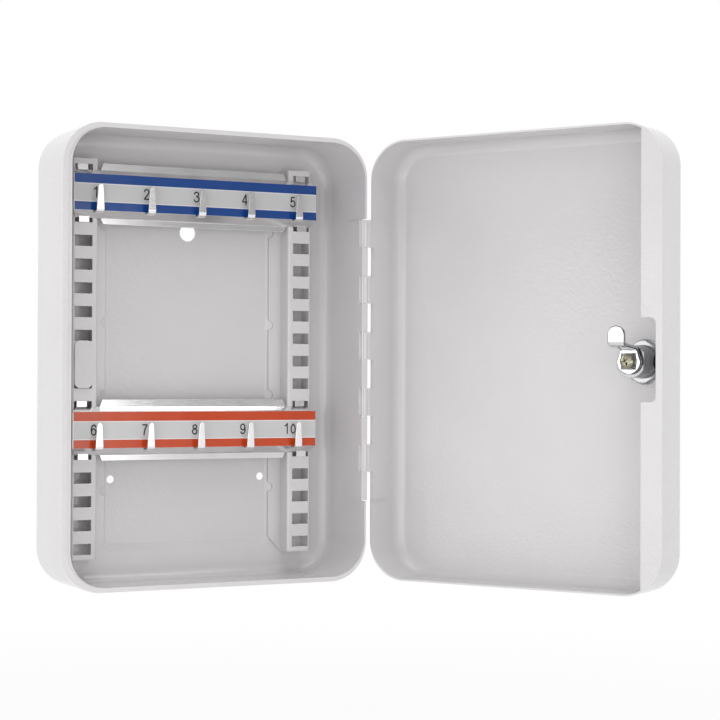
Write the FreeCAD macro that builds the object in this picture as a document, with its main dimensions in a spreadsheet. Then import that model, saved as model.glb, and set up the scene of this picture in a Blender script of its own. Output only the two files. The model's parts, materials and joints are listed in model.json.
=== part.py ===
import FreeCAD, Part
import math
import os
import Sketcher

# Wall key cabinet of sheet steel with ten key hooks and a cam lock in its door.
# Millimetres. X runs across the cabinet (lock side negative, hinge side positive), Y runs from
# the open front (negative) to the wall (zero), Z runs up. The origin is the middle of the flat
# rear face that rests on the wall.
# Door pieces are drawn on the closed door, about the hinge axis, and swing out by open_angle.
SIZES = [
    ("cabinet_width", 180, "outside width of cabinet and door"),
    ("cabinet_height", 250, "outside height of cabinet and door"),
    ("cabinet_depth", 50, "wall plane to cabinet rim"),
    ("sheet_wall", 1.0, "sheet thickness of cabinet and door"),
    ("corner_radius", 22, "outside corner radius seen from the front"),
    ("edge_radius", 7, "outside radius round the back and round the door panel"),
    ("emboss_height", 1.0, "raised rear face above the rest of the back"),
    ("emboss_inset", 41.4, "raised rear face from the cabinet's sides"),
    ("emboss_end_inset", 21.4, "raised rear face from the cabinet's ends"),
    ("emboss_slope", 4.0, "width of the slope round the raised face"),
    ("emboss_corner", 4.0, "corner radius of the raised face"),
    ("rim_flange", 2.9, "width of the rim flange on the lock side"),
    ("rim_flange_ends", 2.5, "width of the rim flange at top and bottom"),
    ("rim_corner", 20.5, "corner radius of the opening in the rim"),
    ("notch_depth", 5.5, "depth of the hinge notch in the cabinet wall"),
    ("notch_play", 0.3, "gap between the hinge and each end of its notch"),
    ("keeper_reach", 5.3, "keeper's inner face from the cabinet's outside"),
    ("keeper_depth", 6.4, "depth of the keeper strip"),
    ("keeper_sheet", 1.0, "sheet thickness of the keeper strip"),
    ("keeper_corner", 19, "inner corner radius of the keeper strip"),
    ("keeper_leg", 25.5, "reach of the keeper strip's ends from the lock side"),
    ("upper_hole_radius", 4.8, "radius of the upper hanging hole"),
    ("upper_hole_drop", 53, "upper hanging hole from the top"),
    ("screw_hole_radius", 2.2, "radius of the two lower screw holes"),
    ("screw_hole_inset", 44.3, "lower screw holes from the cabinet's sides"),
    ("screw_hole_rise", 57.4, "lower screw holes from the bottom"),
    ("drain_slot_inset", 26.2, "inner end of the bottom wall's slot from the hinge side"),
    ("drain_slot_length", 6.2, "length of the slot in the bottom wall"),
    ("drain_slot_width", 2.2, "width of the slot in the bottom wall"),
    ("drain_slot_depth", 25, "slot's middle from the cabinet rim"),
    ("support_sheet", 1.0, "sheet thickness of a slotted support"),
    ("support_depth", 37, "slotted face from the cabinet rim"),
    ("support_inset", 17.7, "outer web of a support from the cabinet's side"),
    ("support_width", 14.5, "width of a support's slotted face"),
    ("support_flange", 7.7, "width of the inner flange of a support"),
    ("support_lip", 6.9, "width of the outer lip of a support"),
    ("support_top_inset", 15.2, "support's top end from the cabinet's top"),
    ("support_bottom_inset", 14.2, "support's bottom end from the cabinet's bottom"),
    ("support_bend", 1.3, "outside bend radius of a support"),
    ("flange_cut", 8.6, "length of the slanted corner of the inner flange"),
    ("slot_count", 17, "slots in each support"),
    ("slot_spacing", 13.05, "pitch of the slots"),
    ("slot_height", 6.1, "height of a slot"),
    ("slot_width", 10.2, "width of a slot"),
    ("slot_first", 3.0, "uppermost slot from the support's top end"),
    ("slot_margin", 3.1, "slots from the support's inner web"),
    ("nick_radius", 2.8, "radius of the nicks in the inner flange"),
    ("nick_near", 20.2, "height of the nicks near the middle"),
    ("nick_far", 73.8, "height of the nicks near the ends"),
    ("plate_sheet", 1.0, "thickness of the plate over two slots"),
    ("plate_margin", 0.2, "what the plate leaves free of the slots it covers"),
    ("plate_corner", 3.0, "corner radius of the plate"),
    ("slots_above_plate", 8, "slots above the plate"),
    ("slots_covered", 2, "slots that the plate covers"),
    ("corner_flat", 0.05, "flat left between two round corners that nearly meet"),
    ("rail_sheet", 1.0, "sheet thickness of a hook rail"),
    ("rail_half_height", 10, "half height of a rail's front face"),
    ("rail_overhang", 1.2, "how far a rail reaches past the supports at each end"),
    ("rail_mitre", 2.5, "how much shorter a rail is at its rear, at each end"),
    ("rail_projection", 5, "rail's front face from the slotted faces"),
    ("rail_gap", 0.05, "play between a rail and the supports"),
    ("upper_bevel", 2.65, "rise of the upper bevel"),
    ("lower_bevel", 4.0, "drop of the lower bevel"),
    ("lip_play", 1.0, "play between the rear lips and the supports at each end"),
    ("lip_rise", 16.6, "top of the upper rear lip from the rail's middle"),
    ("lip_drop", 17.0, "bottom of the lower rear lip from the rail's middle"),
    ("lip_slant", 2.0, "slant of the rear lips' ends"),
    ("tab_side_play", 2.3, "play of a tab on the inner side of its slot"),
    ("tab_width", 5.9, "width of a tab"),
    ("tab_hold", 0.3, "play behind the slotted face"),
    ("tab_grip", 2.1, "how far a tab's end reaches past its slot"),
    ("upper_rail_slot", 0, "slot that takes the upper rail's upper tabs"),
    ("lower_rail_slot", 10, "slot that takes the lower rail's upper tabs"),
    ("rail_slot_offset", 9.7, "slot's bottom edge above a seated rail's middle"),
    ("hook_count", 5, "hooks on a rail"),
    ("hook_spacing", 30, "pitch of the hooks"),
    ("hook_sheet", 1.0, "thickness of a hook"),
    ("hook_width", 4.3, "width of a hook at its root"),
    ("hook_tip_width", 2.6, "width of a hook near its tip"),
    ("hook_reach", 5.6, "hook's foot in front of the rail"),
    ("hook_lean", 0.7, "how much further out a hook's tip stands"),
    ("hook_tip", 4.0, "hook's tip above the rail's middle"),
    ("hook_root", 11.6, "hook's underside below the rail's middle"),
    ("hook_bend", 2.8, "outside bend radius of a hook"),
    ("strip_thickness", 0.3, "thickness of a number strip"),
    ("strip_margin", 0.4, "rail's face left free at each end of a strip"),
    ("hinge_side_gap", 1.0, "hinge axis outside the cabinet wall"),
    ("hinge_depth", 3.84, "hinge axis behind the cabinet rim"),
    ("rim_gap", 0.5, "gap between the rims when the door is shut"),
    ("open_angle", 120, "angle at which the door stands open"),
    ("knuckle_radius", 1.35, "outside radius of a knuckle"),
    ("pin_radius", 0.7, "radius of the hinge pin"),
    ("pin_clearance", 0.05, "radial clearance of the pin in the knuckles"),
    ("knuckle_spacing", 16, "pitch of the knuckles"),
    ("knuckle_gap", 0.3, "gap between two knuckles"),
    ("knuckle_pairs", 5, "knuckles of each leaf"),
    ("leaf_sheet", 0.8, "sheet thickness of a hinge leaf"),
    ("leaf_depth", 16, "depth of a leaf on its wall"),
    ("leaf_setback", 2.2, "leaf's edge behind the axis where the other leaf turns"),
    ("door_leaf_setback", 0.3, "door leaf's edge inside the door's rim"),
    ("door_depth", 29.5, "door rim to the outside of its panel"),
    ("door_lip_width", 12, "reach of the door's lock-side lip"),
    ("door_lip_sheet", 1.0, "sheet thickness of the lip"),
    ("door_lip_depth", 3.4, "depth of the lip's inner fold"),
    ("door_lip_short", 2.5, "the inner fold ends this far inside the corner outline"),
    ("lip_cut_reach", 3.6, "what the lock cut-out leaves of the lip"),
    ("lip_cut_up", 23.0, "lock cut-out above the lock axis"),
    ("lip_cut_down", 21.5, "lock cut-out below the lock axis"),
    ("lip_cut_corner", 2.8, "corner radius of the lock cut-out"),
    ("lock_inset", 21.8, "lock axis from the door's lock side"),
    ("lock_rise", -1.2, "height of the lock axis"),
    ("barrel_radius", 8.75, "radius of the lock barrel"),
    ("barrel_flat", 7.6, "flats of the barrel from its axis"),
    ("barrel_length", 20.5, "barrel from under the head to its rear end"),
    ("barrel_play", 0.15, "play of the barrel in the door panel"),
    ("lock_head_radius", 11.5, "radius of the lock's head"),
    ("lock_head_height", 3.0, "height of the lock's head"),
    ("lock_head_round", 1.4, "rounding of the lock's head"),
    ("nut_flats", 21.5, "lock nut across flats"),
    ("nut_height", 4.2, "height of the lock nut"),
    ("nut_chamfer", 0.9, "chamfer of the lock nut"),
    ("washer_radius", 12.2, "radius of the washer under the nut"),
    ("washer_height", 0.8, "thickness of the washer under the nut"),
    ("thread_clearance", 0.05, "clearance in bores round the barrel"),
    ("plug_radius", 6.2, "radius of the lock plug"),
    ("plug_clearance", 0.06, "running clearance of the plug"),
    ("plug_recess", 0.3, "plug's front below the lock's head"),
    ("plug_stick_out", 0.1, "plug's shoulder past the barrel's rear end"),
    ("keyway_width", 2.4, "width of the keyway"),
    ("keyway_height", 8.6, "height of the keyway"),
    ("keyway_depth", 19, "depth of the keyway"),
    ("wafer_count", 5, "wafers in the plug"),
    ("wafer_spacing", 2.7, "pitch of the wafers"),
    ("wafer_first", 4.5, "first wafer behind the plug's front"),
    ("wafer_thickness", 0.6, "thickness of a wafer"),
    ("wafer_width", 5.0, "width of a wafer"),
    ("wafer_height", 10.6, "height of a wafer"),
    ("wafer_play", 0.1, "play of a wafer in its slot"),
    ("square_size", 7.5, "square drive of the plug"),
    ("square_play", 0.05, "play of the square in the cam"),
    ("stop_sheet", 0.9, "thickness of the turn stop"),
    ("stop_radius", 6.4, "radius of the turn stop's disc"),
    ("stop_lug_width", 3.0, "width of the turn stop's lug"),
    ("stop_play", 0.35, "play between the lug and the end stops"),
    ("stop_rim", 1.9, "radial width of the end stop on the barrel"),
    ("cam_sheet", 2.0, "thickness of the cam"),
    ("cam_half_width", 7.0, "half width of the cam at its square"),
    ("tongue_half_width", 5.4, "half width of the cam's tongue"),
    ("cam_knee", 6.2, "cam's step from the lock axis"),
    ("cam_step", 16, "how far the tongue is set towards the cabinet"),
    ("cam_rake", 1.6, "lean of the cam's step"),
    ("tongue_end", 18.6, "tongue's end from the lock axis"),
    ("tongue_corner", 4.0, "corner radius of the tongue's end"),
    ("cam_bend", 1.5, "outside bend radius of the cam"),
    ("square_short", 0.3, "the square ends this far inside the cam"),
    ("screw_head_radius", 3.5, "radius of the cam screw's head"),
    ("screw_head_height", 1.9, "height of the cam screw's head"),
    ("screw_head_round", 1.1, "rounding of the cam screw's head"),
    ("screw_radius", 2.0, "radius of the cam screw's shank"),
    ("screw_length", 7.0, "length of the cam screw's shank"),
    ("screw_clearance", 0.05, "clearance round the cam screw"),
    ("cross_width", 0.9, "width of the cross recess"),
    ("cross_span", 3.8, "span of the cross recess"),
    ("cross_depth", 1.0, "depth of the cross recess"),
    ("cam_washer_radius", 4.6, "radius of the washer under the cam screw"),
    ("cam_washer_height", 0.7, "thickness of the washer under the cam screw"),
    ("emboss_half_width", "=cabinet_width / 2 - emboss_inset", "half width of the raised rear face"),
    ("emboss_half_height", "=cabinet_height / 2 - emboss_end_inset",
     "half height of the raised rear face"),
    ("keeper_end", "=cabinet_width / 2 - keeper_leg", "keeper strip's end from the middle"),
    ("upper_hole_rise", "=cabinet_height / 2 - upper_hole_drop", "height of the hanging hole"),
    ("screw_hole_half", "=cabinet_width / 2 - screw_hole_inset", "half the screw holes' spacing"),
    ("screw_hole_drop", "=cabinet_height / 2 - screw_hole_rise", "screw holes below the middle"),
    ("drain_slot_from", "=cabinet_width / 2 - drain_slot_inset", "inner end of the drain slot"),
    ("support_outer", "=cabinet_width / 2 - support_inset", "support's outer web from the middle"),
    ("support_inner", "=support_outer - support_width", "support's inner web from the middle"),
    ("support_top", "=cabinet_height / 2 - support_top_inset", "height of a support's top end"),
    ("support_bottom", "=cabinet_height / 2 - support_bottom_inset", "depth of its bottom end"),
    ("slot_top", "=support_top - slot_first", "top edge of the uppermost slot"),
    ("slot_inner", "=support_inner + slot_margin", "inner edge of the slots from the middle"),
    ("rail_half_length", "=support_outer + rail_overhang", "half length of a rail's front face"),
    ("lip_half_length", "=support_inner - lip_play", "half length of the rear lips"),
    ("tab_inner", "=slot_inner + tab_side_play", "inner side of a tab from the middle"),
    ("hinge_x", "=cabinet_width / 2 + hinge_side_gap", "hinge axis across"),
    ("hinge_y", "=hinge_depth - cabinet_depth", "hinge axis along Y"),
    ("door_rim", "=hinge_depth + rim_gap", "door rim in front of the hinge axis"),
    ("lock_x", "=lock_inset - cabinet_width - hinge_side_gap", "lock axis from the hinge"),
    ("panel_front", "=door_rim + door_depth", "outside of the door panel from the hinge"),
    ("barrel_rear", "=panel_front - barrel_length", "rear end of the barrel"),
    ("cam_rear", "=barrel_rear - plug_stick_out - stop_sheet", "cam's face on the stop"),
    ("cam_front", "=cam_rear - cam_sheet", "cam's face under its screw"),
    ("support_face", "=support_depth - cabinet_depth", "slotted face along Y"),
    ("rail_face", "=support_face - rail_gap - rail_projection", "rail's front face along Y"),
]
AXIS_X = FreeCAD.Vector(1, 0, 0)
AXIS_Y = FreeCAD.Vector(0, 1, 0)
AXIS_Z = FreeCAD.Vector(0, 0, 1)
SAME_PLACE = 0.02
LEAST_CUT = 0.01

doc = FreeCAD.newDocument("key_cabinet")
sheet = doc.addObject("Spreadsheet::Sheet", "sizes")
for row, (alias, amount, note) in enumerate(SIZES, start=1):
    sheet.set(f"A{row}", note)
    sheet.set(f"B{row}", str(amount))
    sheet.setAlias(f"B{row}", alias)
doc.recompute()

sub_parts = []


def worth(text):
    """Number that an expression over the sheet has now."""
    return float(sheet.evalExpression(text))


def bind(thing, **bindings):
    """Tie properties of an object to expressions over the sheet."""
    for name, text in bindings.items():
        thing.setExpression(name, text)


def hang(piece):
    """Swing a piece of the closed door about the hinge axis to where the door stands open."""
    piece.Placement.Rotation = FreeCAD.Rotation(AXIS_Z, 1)
    piece.setExpression(".Placement.Base.x", "sizes.hinge_x")
    piece.setExpression(".Placement.Base.y", "sizes.hinge_y")
    piece.setExpression(".Placement.Rotation.Angle", "sizes.open_angle")


def finished(piece, label):
    """Count an object as one of the cabinet's sub-parts."""
    piece.Label = label
    sub_parts.append(piece)


def new_body(label):
    """Empty body that holds one piece."""
    body = doc.addObject("PartDesign::Body", label)
    body.Label = label
    return body


def new_sketch(body, role, lift="0"):
    """Sketch on a plane parallel to one of the body's own origin planes."""
    sketch = body.newObject("Sketcher::SketchObject", f"{body.Name}_sketch")
    plane = next(one for one in body.Origin.OriginFeatures if one.Role == role)
    sketch.AttachmentSupport = [(plane, "")]
    sketch.MapMode = "FlatFace"
    sketch.setExpression(".AttachmentOffset.Base.z", lift)
    return sketch


def pin_point(sketch, element, point, across, up):
    """Fix a point of a sketch at two expressions measured from the sketch's origin."""
    for kind, text in (("DistanceX", across), ("DistanceY", up)):
        rule = Sketcher.Constraint(kind, -1, 1, element, point, worth(text))
        number = sketch.addConstraint(rule)
        sketch.setExpression(f"Constraints[{number}]", text)


def draw_polygon(sketch, corners):
    """Closed outline with straight sides through corners that are pairs of expressions."""
    spots = [FreeCAD.Vector(worth(across), worth(up), 0) for across, up in corners]
    first = sketch.GeometryCount
    count = len(spots)
    for index, spot in enumerate(spots):
        sketch.addGeometry(Part.LineSegment(spot, spots[(index + 1) % count]), False)
    for index in range(count):
        following = first + (index + 1) % count
        sketch.addConstraint(Sketcher.Constraint("Coincident", first + index, 2, following, 1))
    for index, (across, up) in enumerate(corners):
        pin_point(sketch, first + index, 1, across, up)


def draw_rectangle(sketch, left, right, bottom, top):
    """Rectangle between four expressions."""
    draw_polygon(sketch, [(left, bottom), (right, bottom), (right, top), (left, top)])


def draw_round_rectangle(sketch, half_width, half_height, radius):
    """Rectangle about the sketch's origin with round corners."""
    wide, tall, turn = worth(half_width), worth(half_height), worth(radius)
    short_x, short_y = f"({half_width} - {radius})", f"({half_height} - {radius})"
    ends = [(short_x, f"-{half_height}", half_width, f"-{short_y}", 1, -1),
            (half_width, short_y, short_x, half_height, 1, 1),
            (f"-{short_x}", half_height, f"-{half_width}", short_y, -1, 1),
            (f"-{half_width}", f"-{short_y}", f"-{short_x}", f"-{half_height}", -1, -1)]
    arcs = []
    for from_x, from_y, to_x, to_y, side, level in ends:
        centre = FreeCAD.Vector(side * (wide - turn), level * (tall - turn), 0)
        start = math.atan2(worth(from_y) - centre.y, worth(from_x) - centre.x)
        circle = Part.Circle(centre, AXIS_Z, turn)
        arc = sketch.addGeometry(Part.ArcOfCircle(circle, start, start + math.pi / 2), False)
        pin_point(sketch, arc, 1, from_x, from_y)
        pin_point(sketch, arc, 2, to_x, to_y)
        number = sketch.addConstraint(Sketcher.Constraint("Radius", arc, turn))
        sketch.setExpression(f"Constraints[{number}]", radius)
        arcs.append((arc, (from_x, from_y), (to_x, to_y)))
    for index, (arc, _, end) in enumerate(arcs):
        next_arc, begin, _ = arcs[(index + 1) % len(arcs)]
        spots = [FreeCAD.Vector(worth(x), worth(y), 0) for x, y in (end, begin)]
        line = sketch.addGeometry(Part.LineSegment(*spots), False)
        sketch.addConstraint(Sketcher.Constraint("Coincident", arc, 2, line, 1))
        sketch.addConstraint(Sketcher.Constraint("Coincident", line, 2, next_arc, 1))


def draw_circle(sketch, across, up, radius):
    """Circle about a point that is a pair of expressions."""
    centre = FreeCAD.Vector(worth(across), worth(up), 0)
    element = sketch.addGeometry(Part.Circle(centre, AXIS_Z, worth(radius)), False)
    pin_point(sketch, element, 3, across, up)
    number = sketch.addConstraint(Sketcher.Constraint("Radius", element, worth(radius)))
    sketch.setExpression(f"Constraints[{number}]", radius)


def pad(body, sketch, length, back=False, both_ways=False, taper=None):
    """Add the sketch's outline to the body, along the sketch's normal or against it."""
    feature = body.newObject("PartDesign::Pad", f"{body.Name}_pad")
    feature.Profile = sketch
    feature.Reversed = back
    feature.Midplane = both_ways
    bind(feature, Length=length)
    if taper:
        bind(feature, TaperAngle=taper)
    doc.recompute()
    return feature


def pocket(body, sketch, length, back=False, taper=None):
    """Cut the sketch's outline out of the body, against the sketch's normal or along it."""
    before = body.Shape.Volume
    feature = body.newObject("PartDesign::Pocket", f"{body.Name}_pocket")
    feature.Profile = sketch
    feature.Reversed = back
    bind(feature, Length=length)
    if taper:
        bind(feature, TaperAngle=taper)
    doc.recompute()
    if before - body.Shape.Volume < LEAST_CUT:
        raise RuntimeError(f"{feature.Name} cuts nothing")
    return feature


def repeat(body, features, sketch, axis, length, count):
    """Repeat features of a body in a row along an axis of a sketch."""
    row_of = body.newObject("PartDesign::LinearPattern", f"{body.Name}_row")
    row_of.Originals = features
    row_of.Direction = (sketch, [axis])
    bind(row_of, Length=length, Occurrences=count)
    body.Tip = row_of
    doc.recompute()
    return row_of


def straight_along(edge, axis):
    """Whether an edge is a straight line along an axis."""
    if not isinstance(edge.Curve, Part.Line):
        return False
    return abs(edge.tangentAt(edge.FirstParameter).dot(axis)) > 0.999


def at(edge, axis, places):
    """Whether the middle of an edge lies at one of some places along an axis."""
    middle = edge.BoundBox.Center.dot(axis)
    return any(abs(middle - place) < SAME_PLACE for place in places)


def round_off(body, radius, wanted):
    """Round the edges of a body's last feature that a test picks."""
    last = body.Tip
    names = [f"Edge{n}" for n, edge in enumerate(last.Shape.Edges, start=1) if wanted(edge)]
    if not names:
        raise RuntimeError(f"{body.Name} has no edge to round")
    feature = body.newObject("PartDesign::Fillet", f"{body.Name}_rounding")
    feature.Base = (last, names)
    bind(feature, Radius=radius)
    doc.recompute()
    return feature


def both_signs(text):
    """The two places at an expression's value and at its opposite."""
    number = worth(text)
    return [number, -number]


def half(name):
    """Expression for half a size."""
    return f"sizes.{name} / 2"


def tray_block(body, left, right, lift, depth):
    """Full-height block that a tray is made from."""
    outline = new_sketch(body, "XZ_Plane", lift)
    draw_rectangle(outline, left, right, f"-{half('cabinet_height')}", half("cabinet_height"))
    pad(body, outline, depth)


def tray_outside(body, panel):
    """Round corners of a tray, then the round edge of its panel at a place along Y."""
    top = both_signs(half("cabinet_height"))
    round_off(body, "sizes.corner_radius",
              lambda edge: straight_along(edge, AXIS_Y) and at(edge, AXIS_Z, top))
    place = worth(panel)
    round_off(body, "sizes.edge_radius",
              lambda edge: at(edge, AXIS_Y, [place]) and edge.BoundBox.YLength < SAME_PLACE)


def tray_cavity(body, left, right, lift, depth, back):
    """Hollow of a tray, one wall smaller than its outside, with the sheet's inner radii."""
    top = f"{half('cabinet_height')} - sizes.sheet_wall"
    mouth = new_sketch(body, "XZ_Plane", lift)
    draw_rectangle(mouth, left, right, f"-({top})", top)
    pocket(body, mouth, depth, back=back)
    rise = both_signs(top)
    sides = [worth(left), worth(right)]
    round_off(body, "sizes.corner_radius - sizes.sheet_wall",
              lambda edge: straight_along(edge, AXIS_Y) and at(edge, AXIS_Z, rise)
              and at(edge, AXIS_X, sides))
    floor = worth(f"-({lift})") + worth(depth) * (-1 if back else 1)
    round_off(body, "sizes.edge_radius - sizes.sheet_wall",
              lambda edge: at(edge, AXIS_Y, [floor]) and edge.BoundBox.YLength < SAME_PLACE)


def build_cabinet_shell():
    """Back tray: round corners, raised rear face, rim flange, hinge notch and wall holes."""
    body = new_body("cabinet_shell")
    side = half("cabinet_width")
    back_depth = "(sizes.cabinet_depth - sizes.emboss_height)"
    tray_block(body, f"-{side}", side, "sizes.emboss_height", back_depth)
    end = f"({half('cabinet_height')} - sizes.rim_flange_ends)"
    inner = f"({side} - sizes.sheet_wall)"
    mouth = new_sketch(body, "XZ_Plane", "sizes.cabinet_depth")
    draw_rectangle(mouth, f"sizes.rim_flange - {side}", inner, f"-{end}", end)
    pocket(body, mouth, "sizes.sheet_wall")
    rise = both_signs(end)
    round_off(body, "sizes.rim_corner",
              lambda edge: straight_along(edge, AXIS_Y) and at(edge, AXIS_Z, rise))
    tray_cavity(body, f"-{inner}", inner, "(sizes.cabinet_depth - sizes.sheet_wall)",
                f"({back_depth} - 2 * sizes.sheet_wall)", back=False)
    tray_outside(body, "-sizes.emboss_height")

    slope = "atan(sizes.emboss_slope / sizes.emboss_height)"
    wide = "(sizes.emboss_half_width + sizes.emboss_slope)"
    tall = "(sizes.emboss_half_height + sizes.emboss_slope)"
    raised = new_sketch(body, "XZ_Plane", "sizes.emboss_height")
    corner = "(sizes.emboss_corner + sizes.emboss_slope)"
    draw_round_rectangle(raised, wide, tall, corner)
    pad(body, raised, "sizes.emboss_height", back=True, taper=f"-({slope})")
    hollow = new_sketch(body, "XZ_Plane", "sizes.emboss_height + sizes.sheet_wall")
    draw_round_rectangle(hollow, wide, tall, corner)
    pocket(body, hollow, "sizes.emboss_height", taper=f"-({slope})")

    holes = new_sketch(body, "XZ_Plane", "2 * sizes.edge_radius")
    draw_circle(holes, "0", "sizes.upper_hole_rise", "sizes.upper_hole_radius")
    for sign in ("-", ""):
        draw_circle(holes, f"{sign}sizes.screw_hole_half", "-sizes.screw_hole_drop",
                    "sizes.screw_hole_radius")
    pocket(body, holes, "3 * sizes.edge_radius")

    drain = new_sketch(body, "XY_Plane", f"-{half('cabinet_height')}")
    middle = "sizes.drain_slot_depth - sizes.cabinet_depth"
    draw_rectangle(drain, "sizes.drain_slot_from", "sizes.drain_slot_from + sizes.drain_slot_length",
                   f"{middle} - {half('drain_slot_width')}", f"{middle} + {half('drain_slot_width')}")
    pocket(body, drain, "2 * sizes.sheet_wall", back=True)

    reach = "(sizes.knuckle_pairs * sizes.knuckle_spacing + sizes.notch_play)"
    notch = new_sketch(body, "YZ_Plane", side)
    draw_rectangle(notch, "-sizes.cabinet_depth", "sizes.notch_depth - sizes.cabinet_depth",
                   f"-{reach}", reach)
    pocket(body, notch, "sizes.sheet_wall")
    finished(body, "cabinet_shell")


def build_lock_keeper():
    """Angled strip inside the rim on the lock side, which the lock's tongue catches behind."""
    body = new_body("lock_keeper")
    side = f"({half('cabinet_width')} - sizes.sheet_wall)"
    top = f"({half('cabinet_height')} - sizes.sheet_wall)"
    front = "(sizes.cabinet_depth - sizes.sheet_wall)"
    leg = new_sketch(body, "XZ_Plane", front)
    draw_rectangle(leg, f"-{side}", "-sizes.keeper_end", f"-{top}", top)
    pad(body, leg, "sizes.keeper_sheet", back=True)
    reach = f"({half('cabinet_width')} - sizes.keeper_reach)"
    end = f"({half('cabinet_height')} - sizes.rim_flange_ends)"
    fold = new_sketch(body, "XZ_Plane", front)
    draw_rectangle(fold, f"-({reach} + sizes.keeper_sheet)", "-sizes.keeper_end",
                   f"-({end} + sizes.keeper_sheet)", f"{end} + sizes.keeper_sheet")
    pad(body, fold, "sizes.keeper_depth", back=True)
    opening = new_sketch(body, "XZ_Plane", front)
    draw_rectangle(opening, f"-{reach}", "sizes.cabinet_width", f"-{end}", end)
    pocket(body, opening, "sizes.keeper_depth")

    for place, radius in ((f"-{reach}", "sizes.keeper_corner"),
                          (f"-({reach} + sizes.keeper_sheet)",
                           "sizes.keeper_corner + sizes.keeper_sheet"),
                          (f"-{side}", "sizes.corner_radius - sizes.sheet_wall")):
        column = [worth(place)]
        round_off(body, radius, lambda edge: straight_along(edge, AXIS_Y)
                  and at(edge, AXIS_X, column))
    finished(body, "lock_keeper")


def build_slotted_support(label, sign):
    """Upright hat section on the back with a column of slots that the rails hook into."""
    body = new_body(label)
    floor = "-(sizes.emboss_height + sizes.sheet_wall)"
    face = "sizes.support_face"
    rear = f"({face} + sizes.support_sheet)"
    flange = f"({floor} - sizes.support_sheet)"
    inner_web = "(sizes.support_inner + sizes.support_sheet)"
    outer_web = "(sizes.support_outer - sizes.support_sheet)"
    flange_edge = "(sizes.support_inner - sizes.support_flange)"
    lip_edge = "(sizes.support_outer - sizes.support_lip)"
    section = [(flange_edge, flange), ("sizes.support_inner", flange), ("sizes.support_inner", face),
               ("sizes.support_outer", face), ("sizes.support_outer", floor), (lip_edge, floor),
               (lip_edge, flange), (outer_web, flange), (outer_web, rear), (inner_web, rear),
               (inner_web, floor), (flange_edge, floor)]
    outline = new_sketch(body, "XY_Plane", "-sizes.support_bottom")
    draw_polygon(outline, [(f"{sign}{across}", along) for across, along in section])
    pad(body, outline, "sizes.support_top + sizes.support_bottom")
    front = [worth(face)]
    webs = [worth(f"{sign}sizes.support_inner"), worth(f"{sign}sizes.support_outer")]
    round_off(body, "sizes.support_bend",
              lambda edge: straight_along(edge, AXIS_Z) and at(edge, AXIS_Y, front)
              and at(edge, AXIS_X, webs))

    slot = new_sketch(body, "XZ_Plane", f"-({face}) + sizes.support_sheet")
    draw_rectangle(slot, f"{sign}sizes.slot_inner", f"{sign}(sizes.slot_inner + sizes.slot_width)",
                   "sizes.slot_top - sizes.slot_height", "sizes.slot_top")
    cut = pocket(body, slot, "3 * sizes.support_sheet")
    column = repeat(body, [cut], slot, "V_Axis", "sizes.slot_spacing * (sizes.slot_count - 1)",
                    "sizes.slot_count")
    column.Reversed = True
    doc.recompute()

    corners = new_sketch(body, "XZ_Plane", f"-({flange}) + sizes.support_sheet")
    for end, inward in (("sizes.support_top", "-"), ("-sizes.support_bottom", "+")):
        draw_polygon(corners, [(f"{sign}{flange_edge}", end), (f"{sign}sizes.support_inner", end),
                               (f"{sign}{flange_edge}", f"{end} {inward} sizes.flange_cut")])
    for place in ("sizes.nick_near", "-sizes.nick_near", "sizes.nick_far", "-sizes.nick_far"):
        draw_circle(corners, f"{sign}{flange_edge}", place, "sizes.nick_radius")
    pocket(body, corners, "3 * sizes.support_sheet")
    finished(body, label)


def build_blanking_plate():
    """Small round-cornered plate over two slots of the lock-side support, at lock height."""
    body = new_body("blanking_plate")
    lowest_open = "sizes.slots_above_plate - 1"
    top = f"(sizes.slot_top - ({lowest_open}) * sizes.slot_spacing - sizes.slot_height)"
    end = f"{top} - sizes.slots_covered * sizes.slot_spacing"
    outline = new_sketch(body, "XZ_Plane", "-sizes.support_face")
    draw_rectangle(outline, "-(sizes.support_outer - sizes.support_bend)",
                   "-(sizes.slot_inner + sizes.plate_margin)",
                   f"{end} + sizes.plate_margin", f"{top} + sizes.plate_margin")
    pad(body, outline, "sizes.plate_sheet")
    round_off(body, "sizes.plate_corner", lambda edge: straight_along(edge, AXIS_Y))
    finished(body, "blanking_plate")


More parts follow.
